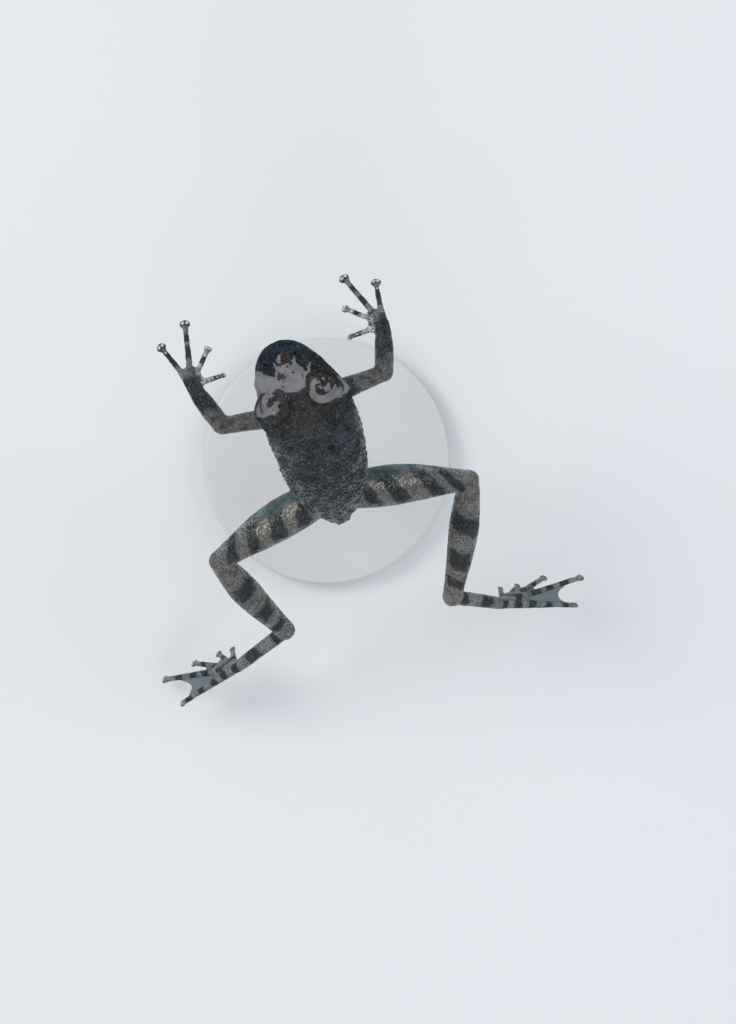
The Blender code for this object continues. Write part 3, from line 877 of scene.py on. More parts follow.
class Shader:
    """The nodes of one material."""

    def __init__(self, name: str, upright: float = 1.0) -> None:
        """Start an empty material.

        Args:
            name: Its name.
            upright: Scale of its patterns along Z, under 1 to draw them out upwards.
        """
        self.material = bpy.data.materials.new(name)
        self.material.use_nodes = True
        self.tree = self.material.node_tree
        self.tree.nodes.clear()
        self.place = self.node("ShaderNodeTexCoord", output="Object")
        inputs = {"Vector": self.place, "Scale": (1.0, 1.0, upright)}
        self.drawn_out = self.node("ShaderNodeMapping", {}, inputs)

    def node(
        self,
        kind: str,
        settings: dict[str, object] | None = None,
        inputs: dict[int | str, object] | None = None,
        output: int | str = 0,
    ) -> Number:
        """Add a node.

        Args:
            kind: The node's type.
            settings: Its own settings, set first.
            inputs: Values or links of its sockets.
            output: The output to return.

        Returns:
            That output.
        """
        made = self.tree.nodes.new(kind)
        for key, value in (settings or {}).items():
            setattr(made, key, value)
        for key, value in (inputs or {}).items():
            socket = made.inputs[key]
            if isinstance(value, Number):
                self.tree.links.new(value.socket, socket)
            elif isinstance(value, tuple) and len(value) == 3 and socket.type == "RGBA":
                socket.default_value = (*value, 1.0)
            else:
                socket.default_value = value
        return Number(self, made.outputs[output])

    def field(self, name: str) -> Number:
        """Read one of the mesh's own numbers."""
        return self.node("ShaderNodeAttribute", {"attribute_name": name}, output="Fac")

    def cloud(self, size: float, detail: float = 2.0, rough: float = 0.5) -> Number:
        """Add noise.

        Args:
            size: Its blotches' width in millimetres.
            detail: How many finer layers it has.
            rough: How strong those are.

        Returns:
            The noise, about 0.5 on the whole.
        """
        inputs = {"Vector": self.drawn_out, "Scale": 1 / METRES / size}
        inputs |= {"Detail": detail, "Roughness": rough}
        return self.node("ShaderNodeTexNoise", {}, inputs)

    def cells(self, size: float, feature: str = "F1") -> Number:
        """Return the distance to the nearest of scattered points, size millimetres apart."""
        inputs = {"Vector": self.place, "Scale": 1 / METRES / size}
        return self.node("ShaderNodeTexVoronoi", {"feature": feature}, inputs)

    def blend(self, share: Number | float, low: Number | Triple, high: Number | Triple) -> Number:
        """Mix two colours, all low at a share of 0 and all high at 1."""
        return self.node("ShaderNodeMix", {"data_type": "RGBA"}, {0: share, 6: low, 7: high}, 2)

    def bump(self, height: Number, depth: float, strength: float) -> Number:
        """Return a bumped normal, its bumps depth millimetres high."""
        inputs = {"Height": height, "Distance": depth * METRES, "Strength": strength}
        return self.node("ShaderNodeBump", {}, inputs)

    def surface(self, **values: object) -> Material:
        """Finish the material.

        Args:
            **values: Inputs of the Principled shader, with _ for a space.

        Returns:
            The material.
        """
        inputs = {key.replace("_", " "): value for key, value in values.items()}
        shader = self.node("ShaderNodeBsdfPrincipled", {}, inputs)
        out = self.tree.nodes.new("ShaderNodeOutputMaterial")
        self.tree.links.new(shader.socket, out.inputs["Surface"])
        return self.material


class SkinShader(Shader):
    """Nodes for skin, with fine grains and lumps that make every edge ragged."""

    def __init__(self, name: str, upright: float) -> None:
        """Start an empty material with its two noises.

        Args:
            name: Its name.
            upright: Scale of its patterns along Z.
        """
        super().__init__(name, upright)
        self.fine = self.cloud(0.21, 3.0, 0.68)
        self.mid = self.cloud(1.0, 3.0, 0.55)
        self.lumps = self.mid - 0.5

    def edge(
        self, name: str, low: float, high: float, ragged: float = 0.55, lumpy: float = 0.0
    ) -> Number:
        """Cut one of the mesh's fields to a ragged edge.

        Args:
            name: The field.
            low: Where the marking starts.
            high: Where it is full.
            ragged: How much the fine grains move the edge.
            lumpy: How much the lumps move it.

        Returns:
            0 outside the marking and 1 inside.
        """
        value = self.field(name)
        if lumpy:
            value += self.lumps * lumpy
        if ragged:
            value += (self.fine - 0.5) * ragged
        return value.rise(low, high)

    def grains(self, lumpy: float, low: float, high: float) -> Number:
        """Return fine grains, 0 to 1, that gather on the lumps."""
        return (self.fine + self.lumps * lumpy).rise(low, high)

    def specks(self, size: float, core: float, rim: float, thin: Span) -> Number:
        """Return scattered round specks, thinned out by the noises."""
        return self.cells(size).fall(core, rim) * (self.fine + self.mid).rise(*thin)


@dataclass(frozen=True)
class SkinFinish:
    """Moist, finely grained frog skin with dark bars, painted sky reflections on its wet head,
    painted shade and shadow in its hollows and creases, and painted rim highlights.
    """

    upright: float = 0.58
    roughness: float = 0.28
    gloss: float = 0.11
    film: float = 0.045
    wetness: float = 0.16
    ground: Triple = (0.008, 0.010, 0.012)
    fleck: Triple = (0.042, 0.053, 0.067)
    warm_dark: Triple = (0.010, 0.008, 0.007)
    warm_pale: Triple = (0.050, 0.044, 0.038)
    sand: Triple = (0.17, 0.165, 0.155)
    black: Triple = (0.002, 0.002, 0.002)
    navy: Triple = (0.004, 0.007, 0.012)
    navy_pale: Triple = (0.024, 0.045, 0.068)
    bar_pale: Triple = (0.048, 0.056, 0.063)
    gap_dark: Triple = (0.058, 0.060, 0.060)
    gap_pale: Triple = (0.182, 0.168, 0.156)
    foot_dark: Triple = (0.095, 0.110, 0.120)
    foot_pale: Triple = (0.230, 0.260, 0.275)
    cream: Triple = (0.390, 0.390, 0.355)
    ice: Triple = (0.46, 0.50, 0.52)
    teal: Triple = (0.030, 0.060, 0.068)
    teal_pale: Triple = (0.085, 0.140, 0.152)
    olive: Triple = (0.105, 0.108, 0.078)
    webbing: Triple = (0.150, 0.190, 0.210)
    vein: Triple = (0.10, 0.13, 0.15)
    belly_dark: Triple = (0.27, 0.255, 0.225)
    belly_pale: Triple = (0.50, 0.48, 0.43)
    # Two tones of the painted sky reflections on the wet head.
    glare_bright: Triple = (0.185, 0.184, 0.190)
    glare_dim: Triple = (0.128, 0.129, 0.135)
    crown: Triple = (0.012, 0.010, 0.008)
    gloom: Triple = (0.004, 0.004, 0.005)
    gloom_fleck: Triple = (0.17, 0.175, 0.175)
    # The rim colour is a painted highlight on side-on skin.
    rim: Triple = (0.30, 0.34, 0.37)
    pad: Triple = (0.50, 0.54, 0.56)
    # Painted shadow in the creases of the mouth, nostrils and lids.
    crease: Triple = (0.008, 0.008, 0.008)

    def trunk(self, nodes: SkinShader) -> Number:
        """Colour the back: dark skin thick with pale grey grains, and painted shade behind the
        shoulders.

        Args:
            nodes: The skin's nodes.

        Returns:
            The colour.
        """
        broad = nodes.cloud(4.0) - 0.5
        pepper = (nodes.fine + nodes.lumps * 0.35 + broad * 0.35).rise(0.42, 0.66)
        cold = nodes.blend(pepper, self.ground, self.fleck)
        brown = nodes.blend(pepper, self.warm_dark, self.warm_pale)
        where = (nodes.field("warm") * 0.85 + nodes.lumps * 1.1 + 0.06).rise(0.15, 0.75)
        tone = nodes.blend(where * 0.7, cold, brown)
        tone = nodes.blend(nodes.specks(0.62, 0.10, 0.22, (0.85, 1.05)) * 0.5, tone, self.sand)
        # Painted shade behind each shoulder, where the arm's root meets the trunk.
        hollow = nodes.edge("hollow", 0.4, 0.6, ragged=0.0, lumpy=0.8)
        tone = nodes.blend(hollow * 0.95, tone, self.navy)
        return nodes.blend(nodes.edge("blot", 0.36, 0.48, ragged=0.2), tone, self.black)

    def limb(self, nodes: SkinShader) -> Number:
        """Colour the limbs: pale grained skin crossed by ragged dark bars.

        Args:
            nodes: The skin's nodes.

        Returns:
            The colour.
        """
        bars = nodes.edge("bars", 0.37, 0.55, ragged=1.1, lumpy=1.5)
        grain = nodes.grains(0.4, 0.38, 0.62)
        foot = nodes.field("foot")
        gaps = nodes.blend(grain, self.gap_dark, self.gap_pale)
        gaps = nodes.blend(foot * 0.7, gaps, nodes.blend(grain, self.foot_dark, self.foot_pale))
        gaps = nodes.blend(nodes.field("lit") * 0.65, gaps, self.olive)
        tone = nodes.blend(bars, gaps, nodes.blend(grain * 0.8, self.ground, self.bar_pale))
        spread = (nodes.fine - 0.5) * 1.3 - nodes.cells(0.22) * 0.55 + 0.26
        dots = (nodes.field("speckled") * 0.55 + spread).rise(0.38, 0.58) * (1.0 - bars * 0.7)
        return nodes.blend(dots, tone, nodes.blend(foot.rise(0.2, 0.5), self.cream, self.ice))

    def head(self, nodes: SkinShader, tone: Number) -> Number:
        """Lay the head's dark snout and the painted reflections of the sky on its wet skin over a
        colour.

        Args:
            nodes: The skin's nodes.
            tone: The colour under them.

        Returns:
            The colour with them.
        """
        navy = nodes.blend(nodes.grains(0.7, 0.46, 0.70), self.navy, self.navy_pale)
        tone = nodes.blend(nodes.edge("snout", 0.46, 0.54), tone, navy)
        umber = nodes.blend(nodes.fine.rise(0.42, 0.66), self.crown, self.warm_pale)
        tone = nodes.blend(nodes.edge("brown", 0.47, 0.55), tone, umber)
        # Painted reflections of the sky on the wet head, with holes where the dark skin shows
        # through.
        patch = nodes.edge("patch", 0.47, 0.53)
        glare = nodes.blend(nodes.mid.rise(0.36, 0.62), self.glare_dim, self.glare_bright)
        tone = nodes.blend(patch, tone, glare)
        holes = nodes.edge("holes", 0.46, 0.54, ragged=0.275)
        tone = nodes.blend(patch * holes * 0.92, tone, self.crown)
        dots = nodes.specks(0.30, 0.16, 0.34, (0.85, 1.1))
        gloom = nodes.edge("gloom", 0.40, 0.62) * (1.0 - patch)
        return nodes.blend(gloom * 0.9, tone, nodes.blend(dots * 0.8, self.gloom, self.gloom_fleck))

    def build(self) -> Material:
        """Make the skin's material.

        Returns:
            The material.
        """
        nodes = SkinShader("frog_skin", self.upright)
        fine, mid, web = nodes.fine, nodes.mid, nodes.field("web")
        tone = nodes.blend(nodes.field("limb").rise(0.35, 0.65), self.trunk(nodes), self.limb(nodes))
        front = nodes.edge("front", 0.25, 0.85, ragged=1.3, lumpy=0.9)
        smooth_tone = nodes.blend(mid.rise(0.35, 0.7), self.teal, self.teal_pale)
        tone = nodes.blend(front * (1.0 - fine * 0.4), tone, smooth_tone)
        veins = nodes.cells(0.8, "DISTANCE_TO_EDGE").fall(0.0, 0.10) * 0.35
        tone = nodes.blend(web * 0.9, tone, nodes.blend(veins, self.webbing, self.vein))
        grain = (fine * 0.9 + nodes.lumps * 0.8).rise(0.25, 0.62)
        under = nodes.edge("belly", 0.3, 0.8, ragged=0.5, lumpy=0.9)
        tone = nodes.blend(under * 0.9, tone, nodes.blend(grain, self.belly_dark, self.belly_pale))
        tone = self.head(nodes, tone)
        # Painted rim highlight where the skin turns side-on.
        rim = nodes.field("rim") * nodes.grains(0.5, 0.48, 0.62)
        tone = nodes.blend(rim * 0.75, tone, self.rim)
        tone = nodes.blend(nodes.edge("pads", 0.40, 0.58, ragged=0.3) * 0.92, tone, self.pad)
        # Painted shadow in the mouth's line, the nostrils and under the lids' edges.
        tone = nodes.blend(nodes.field("crease") * 0.85, tone, self.crease)
        granules = (1.0 - nodes.cells(0.34)) * 0.55 + fine * 0.75
        height = granules * (1.0 - nodes.field("front").most(web) * 0.75)
        return nodes.surface(
            Base_Color=tone,
            Roughness=mid * 0.3 + self.roughness,
            Normal=nodes.bump(height, 0.06, 0.85),
            Specular_IOR_Level=self.gloss,
            Coat_Weight=nodes.field("patch") * self.wetness + self.film,
            Coat_Roughness=0.16,
            Subsurface_Weight=0.05,
            Subsurface_Radius=(0.0006, 0.0004, 0.0003),
            Subsurface_Scale=1.0,
        )


@dataclass(frozen=True)
class EyeFinish:
    """A wet bronze iris netted with black, round a level black pupil, with painted shade over the
    iris's upper part.
    """

    bronze: Triple = (0.30, 0.17, 0.055)
    gold: Triple = (0.55, 0.38, 0.14)
    net: Triple = (0.012, 0.009, 0.006)
    rim: Triple = (0.02, 0.018, 0.016)
    pupil: Triple = (0.002, 0.002, 0.002)

    def build(self) -> Material:
        """Make the eye's material.

        Returns:
            The material.
        """
        nodes = Shader("frog_eye")
        tone = nodes.blend(nodes.cloud(0.5, 3.0).rise(0.35, 0.65), self.bronze, self.gold)
        net = nodes.cells(0.22, "DISTANCE_TO_EDGE").fall(0.02, 0.14) * 0.75
        # The band field holds the iris's dark band and the painted shade under the upper lid.
        tone = nodes.blend(net.most(nodes.field("band") * 0.95), tone, self.net)
        tone = nodes.blend(nodes.field("outer"), tone, self.rim)
        tone = nodes.blend(nodes.field("pupil").rise(0.4, 0.6), tone, self.pupil)
        return nodes.surface(
            Base_Color=tone,
            Roughness=0.3,
            Specular_IOR_Level=0.0,
            Coat_Weight=nodes.field("wet"),
            Coat_Roughness=0.03,
        )


@dataclass(frozen=True)
class StandFinish:
    """Satin off-white paint with a faint orange-peel surface."""

    colour: Triple = (0.60, 0.61, 0.62)
    shade: Triple = (0.53, 0.54, 0.55)

    def build(self) -> Material:
        """Make the stand's material.

        Returns:
            The material.
        """
        nodes = Shader("stand_paint")
        return nodes.surface(
            Base_Color=nodes.blend(nodes.cloud(6.0, 3.0), self.colour, self.shade),
            Roughness=nodes.cloud(1.4) * 0.12 + 0.34,
            Normal=nodes.bump(nodes.cloud(0.45), 0.012, 0.5),
        )


@dataclass(frozen=True)
class FloorFinish:
    """Plain pale floor."""

    colour: Triple = (0.70, 0.72, 0.74)
    shade: Triple = (0.679, 0.6984, 0.7178)

    def build(self) -> Material:
        """Make the floor's material.

        Returns:
            The material.
        """
        nodes = Shader("studio_floor")
        tone = nodes.blend(nodes.cloud(60.0), self.colour, self.shade)
        return nodes.surface(Base_Color=tone, Roughness=0.75)


@dataclass(frozen=True)
class Eye:
    """One eyeball and the lid round it, in millimetres and degrees.

    The opening between the lids is wide, then tall above the gaze and tall below it.
    """

    side: Side
    body: BodyForm
    station: float = 6.3
    out: float = 2.85
    up: float = 1.05
    radius: float = 1.5
    lid_radius: float = 2.1
    stands_out: float = 0.3
    gaze_ahead: float = 22.0
    gaze_above: float = 18.0
    look_above: float = 3.0
    opening: Triple = (52.0, 21.0, 38.0)
    socket: float = 0.82
    lid_gap: float = 0.04
    lid_thickness: float = 0.3
    lid_edge: float = 0.07
    lid_overhang: float = 0.32
    pupil: Span = (0.50, 0.29)

    @property
    def lid_centre(self) -> Vector:
        """The centre of the lid's dome."""
        here, left, up, _ = self.body.axes(self.station)
        return here + left * (self.side.value * self.out) + up * self.up

    def towards(self, elevation: float) -> Vector:
        """Return a direction out of the head.

        Args:
            elevation: Degrees above the head's level.

        Returns:
            A unit vector.
        """
        _, left, up, forward = self.body.axes(self.station)
        ahead, above = math.radians(self.gaze_ahead), math.radians(elevation)
        level = math.cos(above)
        found = left * (self.side.value * math.cos(ahead) * level)
        return found + forward * (math.sin(ahead) * level) + up * math.sin(above)

    @property
    def centre(self) -> Vector:
        """The centre of the eyeball."""
        return self.lid_centre + self.towards(self.gaze_above) * self.stands_out

    @property
    def axes(self) -> tuple[Vector, Vector, Vector]:
        """The eye's directions: along the slit, upwards and out."""
        _, _, up, forward = self.body.axes(self.station)
        out = self.towards(self.look_above)
        along = (forward - out * forward.dot(out)).normalized()
        above = out.cross(along)
        return along, -above if above.dot(up) < 0 else above, out

    def slit(self, points: Array) -> tuple[Array, Array, Array]:
        """Place points against the opening between the lids.

        Args:
            points: Rows of places.

        Returns:
            The opening's own measure, 1 at its edge, the distance from the eyeball's centre, and
            the unit directions from there.
        """
        offset = points - np.array(self.centre)
        gap = np.linalg.norm(offset, axis=1)
        direction = offset / gap[:, None].clip(TINY)
        x, y, z = (direction @ np.array(axis) for axis in self.axes)
        turn = np.hypot(x, y).clip(TINY)
        angle = np.degrees(np.arctan2(np.hypot(x, y), z))
        wide, above_gaze, below_gaze = self.opening
        tall = np.where(y > 0, above_gaze, below_gaze)
        return np.hypot(angle * x / turn / wide, angle * y / turn / tall), gap, direction

    def build(self, finish: Material) -> Piece:
        """Build the eyeball.

        Args:
            finish: The eye's material.

        Returns:
            The eyeball, riding on the body in the place of its CAD node.
        """
        bm = bmesh.new()
        bmesh.ops.create_uvsphere(bm, u_segments=64, v_segments=48, radius=self.radius)
        frame = Matrix(self.axes).transposed()
        bmesh.ops.rotate(bm, cent=(0, 0, 0), matrix=frame, verts=bm.verts)
        bmesh.ops.translate(bm, vec=self.centre, verts=bm.verts)
        bmesh.ops.recalc_face_normals(bm, faces=bm.faces)
        mesh = mesh_of(bm, f"eyeball_{self.side.label}")
        offset = (Surface(mesh).points - np.array(self.centre)) / self.radius
        x, y, z = (offset @ np.array(axis) for axis in self.axes)
        level = offset[:, 2]
        wide, tall = self.pupil
        band = bell(y, -0.02, 0.15) * 0.74
        # Painted shade on the iris's upturned part and its front corner, under the upper lid.
        shadow = np.maximum(step(y, 0.16, 0.32), step(level, 0.0, 0.24))
        corner = step(x, 0.22, 0.46) * step(level, -0.45, -0.20)
        fields = {
            "pupil": step(z, 0.0, 0.3) * step(np.hypot(x / wide, y / tall), 1.12, 0.9),
            "outer": step(np.hypot(x, y), 0.78, 0.92) + step(z, 0.1, -0.1),
            "wet": 1 - 0.96 * step(level, -0.12, 0.0) * step(level, 0.62, 0.44),
            "band": np.maximum.reduce([band, shadow, corner]),
        }
        for name, values in fields.items():
            mark(mesh, name, values)
        return place_piece(mesh, finish, (f"eye_{self.side.label}",))


@dataclass(frozen=True)
class Digit:
    """A finger's or a toe's sizes in millimetres, its bars, and how pale its knuckle is.

    Its radius swells by four factors, at the shares of its length that DIGIT_SHARES gives.
    """

    length: float
    radius: float
    disc: float
    swell: tuple[float, ...]
    bars: Pairs
    knob: float = 0.0


FINGER_SWELL = (1.45, 1.08, 0.95, 0.95)
THUMB_SWELL = (1.65, 1.08, 0.95, 0.95)
TOE_SWELL = (1.35, 1.05, 0.95, 0.86)
DIGIT_SHARES = {Part.FINGER: (0.0, 0.3, 0.75, 1.0), Part.TOE: (0.0, 0.35, 0.7, 1.0)}
FINGERS = (
    Digit(4.1, 0.34, 0.38, THUMB_SWELL, ((0.68, 0.08),), 0.7),
    Digit(5.2, 0.33, 0.50, THUMB_SWELL, ((0.61, 0.08),), 1.0),
    Digit(7.6, 0.35, 0.64, FINGER_SWELL, ((0.45, 0.09), (0.735, 0.06), (1.04, 0.07)), 0.2),
    Digit(6.0, 0.34, 0.62, FINGER_SWELL, ((0.48, 0.12), (0.74, 0.10), (1.05, 0.08)), 0.7),
)
TOES = (
    Digit(4.7, 0.37, 0.46, TOE_SWELL, ((0.4, 0.08),)),
    Digit(6.2, 0.38, 0.50, TOE_SWELL, ((0.3, 0.07), (0.65, 0.07))),
    Digit(8.6, 0.39, 0.54, TOE_SWELL, ((0.2, 0.05), (0.45, 0.06), (0.72, 0.06))),
    Digit(
        12.2, 0.41, 0.58, (1.4, 1.08, 0.95, 0.86),
        ((0.18, 0.045), (0.39, 0.055), (0.57, 0.05), (0.77, 0.05)),
    ),
    Digit(
        9.8, 0.40, 0.56, (1.6, 1.28, 0.95, 0.86),
        ((0.17, 0.05), (0.37, 0.055), (0.62, 0.055), (0.87, 0.05)),
    ),
)


@dataclass(frozen=True)
class Tip:
    """The end of a digit, its direction, and the direction that its disc faces."""

    digit: Digit
    place: Vector
    way: Vector
    face: Vector


@dataclass(frozen=True)
class Limbs:
    """The arm and leg of one side, in millimetres.

    A root is its station, how far out it lies and how far down. Each bone of the palm is its radius
    and its length. A web's edge is the share of two toes' lengths that it reaches.
    """

    pose: LimbPose
    body: BodyForm
    shoulder: Triple = (11.4, 3.7, 2.9)
    upper_arm: float = 6.1
    forearm: float = 5.5
    palm: float = 1.8
    palm_bones: Pairs = ((0.50, 1.1), (0.55, 1.4), (0.55, 1.6), (0.66, 2.3))
    palm_flat: float = 0.85
    hip: Triple = (25.6, 1.75, 0.5)
    thigh: float = 14.4
    shank: float = 15.2
    tarsus: float = 8.2
    elbow_ball: float = 1.08
    leg_balls: Triple = (1.25, 1.18, 0.78)
    disc_shape: Triple = (1.0, 0.80, 0.52)
    knuckle_shape: Triple = (1.0, 1.2, 0.8)
    knuckle_radius: float = 0.30
    knuckle_back: float = 1.15
    knuckle_down: float = 0.12
    web_edges: Pairs = ((0.8, 0.8), (0.8, 0.8), (0.8, 0.594), (0.9, 0.92))
    web_thickness: float = 0.2
    web_sag: float = 0.2
    web_ripple: float = 0.09
    web_root: float = 0.03

    def way(self, angles: Angles) -> Vector:
        """Return the direction of a heading and droop."""
        return aim(self.pose.side, *angles)

    def chain(self, root: Triple, *stretches: tuple[Angles, float]) -> tuple[Vector, ...]:
        """Follow a limb out from the body.

        Args:
            root: Its root.
            *stretches: The angles and length of each stretch.

        Returns:
            Its joints.
        """
        station, out, down = root
        here, left, up, _ = self.body.axes(station)
        joints = [here + left * (self.pose.side.value * out) - up * down]
        for angles, length in stretches:
            joints.append(joints[-1] + self.way(angles) * length)
        return tuple(joints)

    @cached_property
    def arm(self) -> tuple[Vector, ...]:
        """The shoulder, elbow and wrist."""
        stretches = (self.pose.upper_arm, self.upper_arm), (self.pose.forearm, self.forearm)
        return self.chain(self.shoulder, *stretches)

    @cached_property
    def leg(self) -> tuple[Vector, ...]:
        """The hip, knee, heel and the place that the toes spread from."""
        pose = self.pose
        stretches = (pose.thigh, self.thigh), (pose.shank, self.shank), (pose.tarsus, self.tarsus)
        return self.chain(self.hip, *stretches)

    def digit_forms(
        self, part: Part, digits: Sequence[Digit], root: Vector, clear: float, flat: float
    ) -> list[LimbForm]:
        """Lay out the digits of a hand or foot.

        Args:
            part: Fingers or toes.
            digits: Their sizes.
            root: The place that they spread from.
            clear: How far from there they start.
            flat: Their thickness against their breadth.

        Returns:
            A stretch for each.
        """
        angles = self.pose.fingers if part is Part.FINGER else self.pose.toes
        forms = []
        for order, digit in enumerate(digits):
            way = self.way(angles[order])
            radii = tuple(zip(DIGIT_SHARES[part], (digit.radius * swell for swell in digit.swell)))
            start, end = root + way * clear, root + way * digit.length
            shape = {"sides": 14, "flat": flat, "bars": digit.bars, "order": order}
            forms.append(LimbForm(part, self.pose.side, start, end, radii, **shape))
        return forms

    @cached_property
    def forms(self) -> list[LimbForm]:
        """The stretches of the arm, hand, leg and foot."""
        side = self.pose.side
        shoulder, elbow, wrist = self.arm
        shoulder = shoulder + Vector(self.pose.shoulder_shift)
        elbow = elbow + Vector(self.pose.elbow_shift)
        middle = (self.way(self.pose.fingers[1]) + self.way(self.pose.fingers[2])) / 2
        hip, knee, heel, foot = self.leg
        arm = [
            LimbForm(
                Part.ARM, side, shoulder, elbow,
                radii=((0, 1.26), (0.4, 1.08), (0.8, 1.0), (1, 1.0)),
                bars=((0.04, 0.12),),
            ),
            LimbForm(
                Part.ARM, side, elbow, wrist,
                radii=((0, 1.0), (0.3, 1.1), (0.65, 1.02), (1, 0.8)),
                bars=((0.76, 0.24),),
            ),
            LimbForm(
                Part.HAND, side, wrist, wrist + middle * self.palm,
                radii=((0, 0.92), (0.5, 1.12), (1, 1.0)),
                flat=0.52, broad=Vector((1.0, 0.0, 0.0)), bars=((-0.1, 0.34),),
            ),
        ]
        leg = [
            LimbForm(
                Part.THIGH, side, hip, knee,
                radii=((0, 1.9), (0.12, 2.25), (0.35, 2.38), (0.6, 2.08), (0.82, 1.52), (1, 1.2)),
                sides=32, bow=Vector((0.0, -0.3, 0.1)),
                bars=THIGH_BARS[side], slant=-0.07 if side is Side.LEFT else -0.12,
            ),
            LimbForm(
                Part.SHANK, side, knee, heel,
                radii=((0, 1.22), (0.15, 1.48), (0.4, 1.8), (0.68, 1.5), (0.88, 1.22), (1, 1.18)),
                sides=28, bow=Vector((side.value * 0.25, 0.0, 0.0)),
                bars=((0.33, 0.065), (0.64, 0.06), (0.84, 0.03)), slant=0.03,
            ),
            LimbForm(
                Part.TARSUS, side, heel, foot,
                radii=((0, 0.98), (0.25, 0.86), (0.6, 0.80), (1, 0.76)),
                bars=((0.16, 0.07), (0.62, 0.11), (0.99, 0.06)),
            ),
        ]
        fingers = self.digit_forms(Part.FINGER, FINGERS, wrist, clear=1.0, flat=0.92)
        toes = self.digit_forms(Part.TOE, TOES, foot, clear=0.25, flat=1.0)
        return arm + fingers + leg + toes

    @cached_property
    def tips(self) -> list[Tip]:
        """The ends of the fingers and then of the toes."""
        pose = self.pose
        across = self.way(pose.toes[1]) - self.way(pose.toes[4])
        sole = across.cross(self.way(pose.tarsus))
        rows = [(FINGERS, pose.fingers, self.arm[-1], Vector((0.0, 0.0, 1.0)))]
        rows.append((TOES, pose.toes, self.leg[-1], sole))
        tips = []
        for digits, angles, root, face in rows:
            for digit, way in zip(digits, map(self.way, angles)):
                turned = (face - way * face.dot(way)).normalized()
                tips.append(Tip(digit, root + way * digit.length, way, turned))
        return tips

    def mould(self, shapes: Mould) -> None:
        """Add the limbs to the mould.

        Args:
            shapes: The mould that takes them.
        """
        for form in self.forms:
            shapes.tube(form.rings())
        wrist = self.arm[-1]
        for digit, angles, (radius, reach) in zip(FINGERS, self.pose.fingers, self.palm_bones):
            taper = ((0, radius), (0.5, radius * 0.92), (1, digit.radius * 1.15))
            end = wrist + self.way(angles) * reach
            bone = LimbForm(Part.HAND, self.pose.side, wrist, end, taper, flat=self.palm_flat)
            shapes.tube(bone.rings())
        shapes.ball(self.forms[0].end, self.elbow_ball)
        for joint, radius in zip(self.leg[1:], self.leg_balls):
            shapes.ball(joint, radius)
        for tip in self.tips:
            axes, disc = (tip.way, tip.face), tip.digit.disc
            shapes.ball(tip.place + tip.way * (disc * 0.12), disc + 0.04, axes, self.disc_shape)
            knuckle = tip.place - tip.way * self.knuckle_back - tip.face * self.knuckle_down
            shapes.ball(knuckle, self.knuckle_radius, axes, self.knuckle_shape)

    def webs(self, bm: bmesh.types.BMesh) -> None:
        """Add the webs between the toes.

        Args:
            bm: The mesh that takes them.
        """
        foot = self.leg[-1]
        reaches = [(self.way(angles), toe.length) for angles, toe in zip(self.pose.toes, TOES)]
        for ((inner, short), (outer, long)), (near, far) in zip(pairwise(reaches), self.web_edges):
            start, end = foot + inner * (short * near), foot + outer * (long * far)
            normal = inner.cross(outer).normalized()
            made = bmesh.ops.create_grid(bm, x_segments=14, y_segments=8, size=1.0)["verts"]
            for vert in made:
                along, across = (vert.co.x + 1) / 2, (vert.co.y + 1) / 2
                along = self.web_root + (1 - self.web_root) * along
                sag = self.web_sag * along**3 * (1 - (2 * across - 1) ** 2)
                spot = foot.lerp(start.lerp(end, across), along * (1 - sag))
                ripple = self.web_ripple * math.sin(across * math.pi * 3) * along
                vert.co = spot + normal * ripple
            faces = list({face for vert in made for face in vert.link_faces})
            bmesh.ops.recalc_face_normals(bm, faces=faces)
            bmesh.ops.solidify(bm, geom=faces, thickness=self.web_thickness)


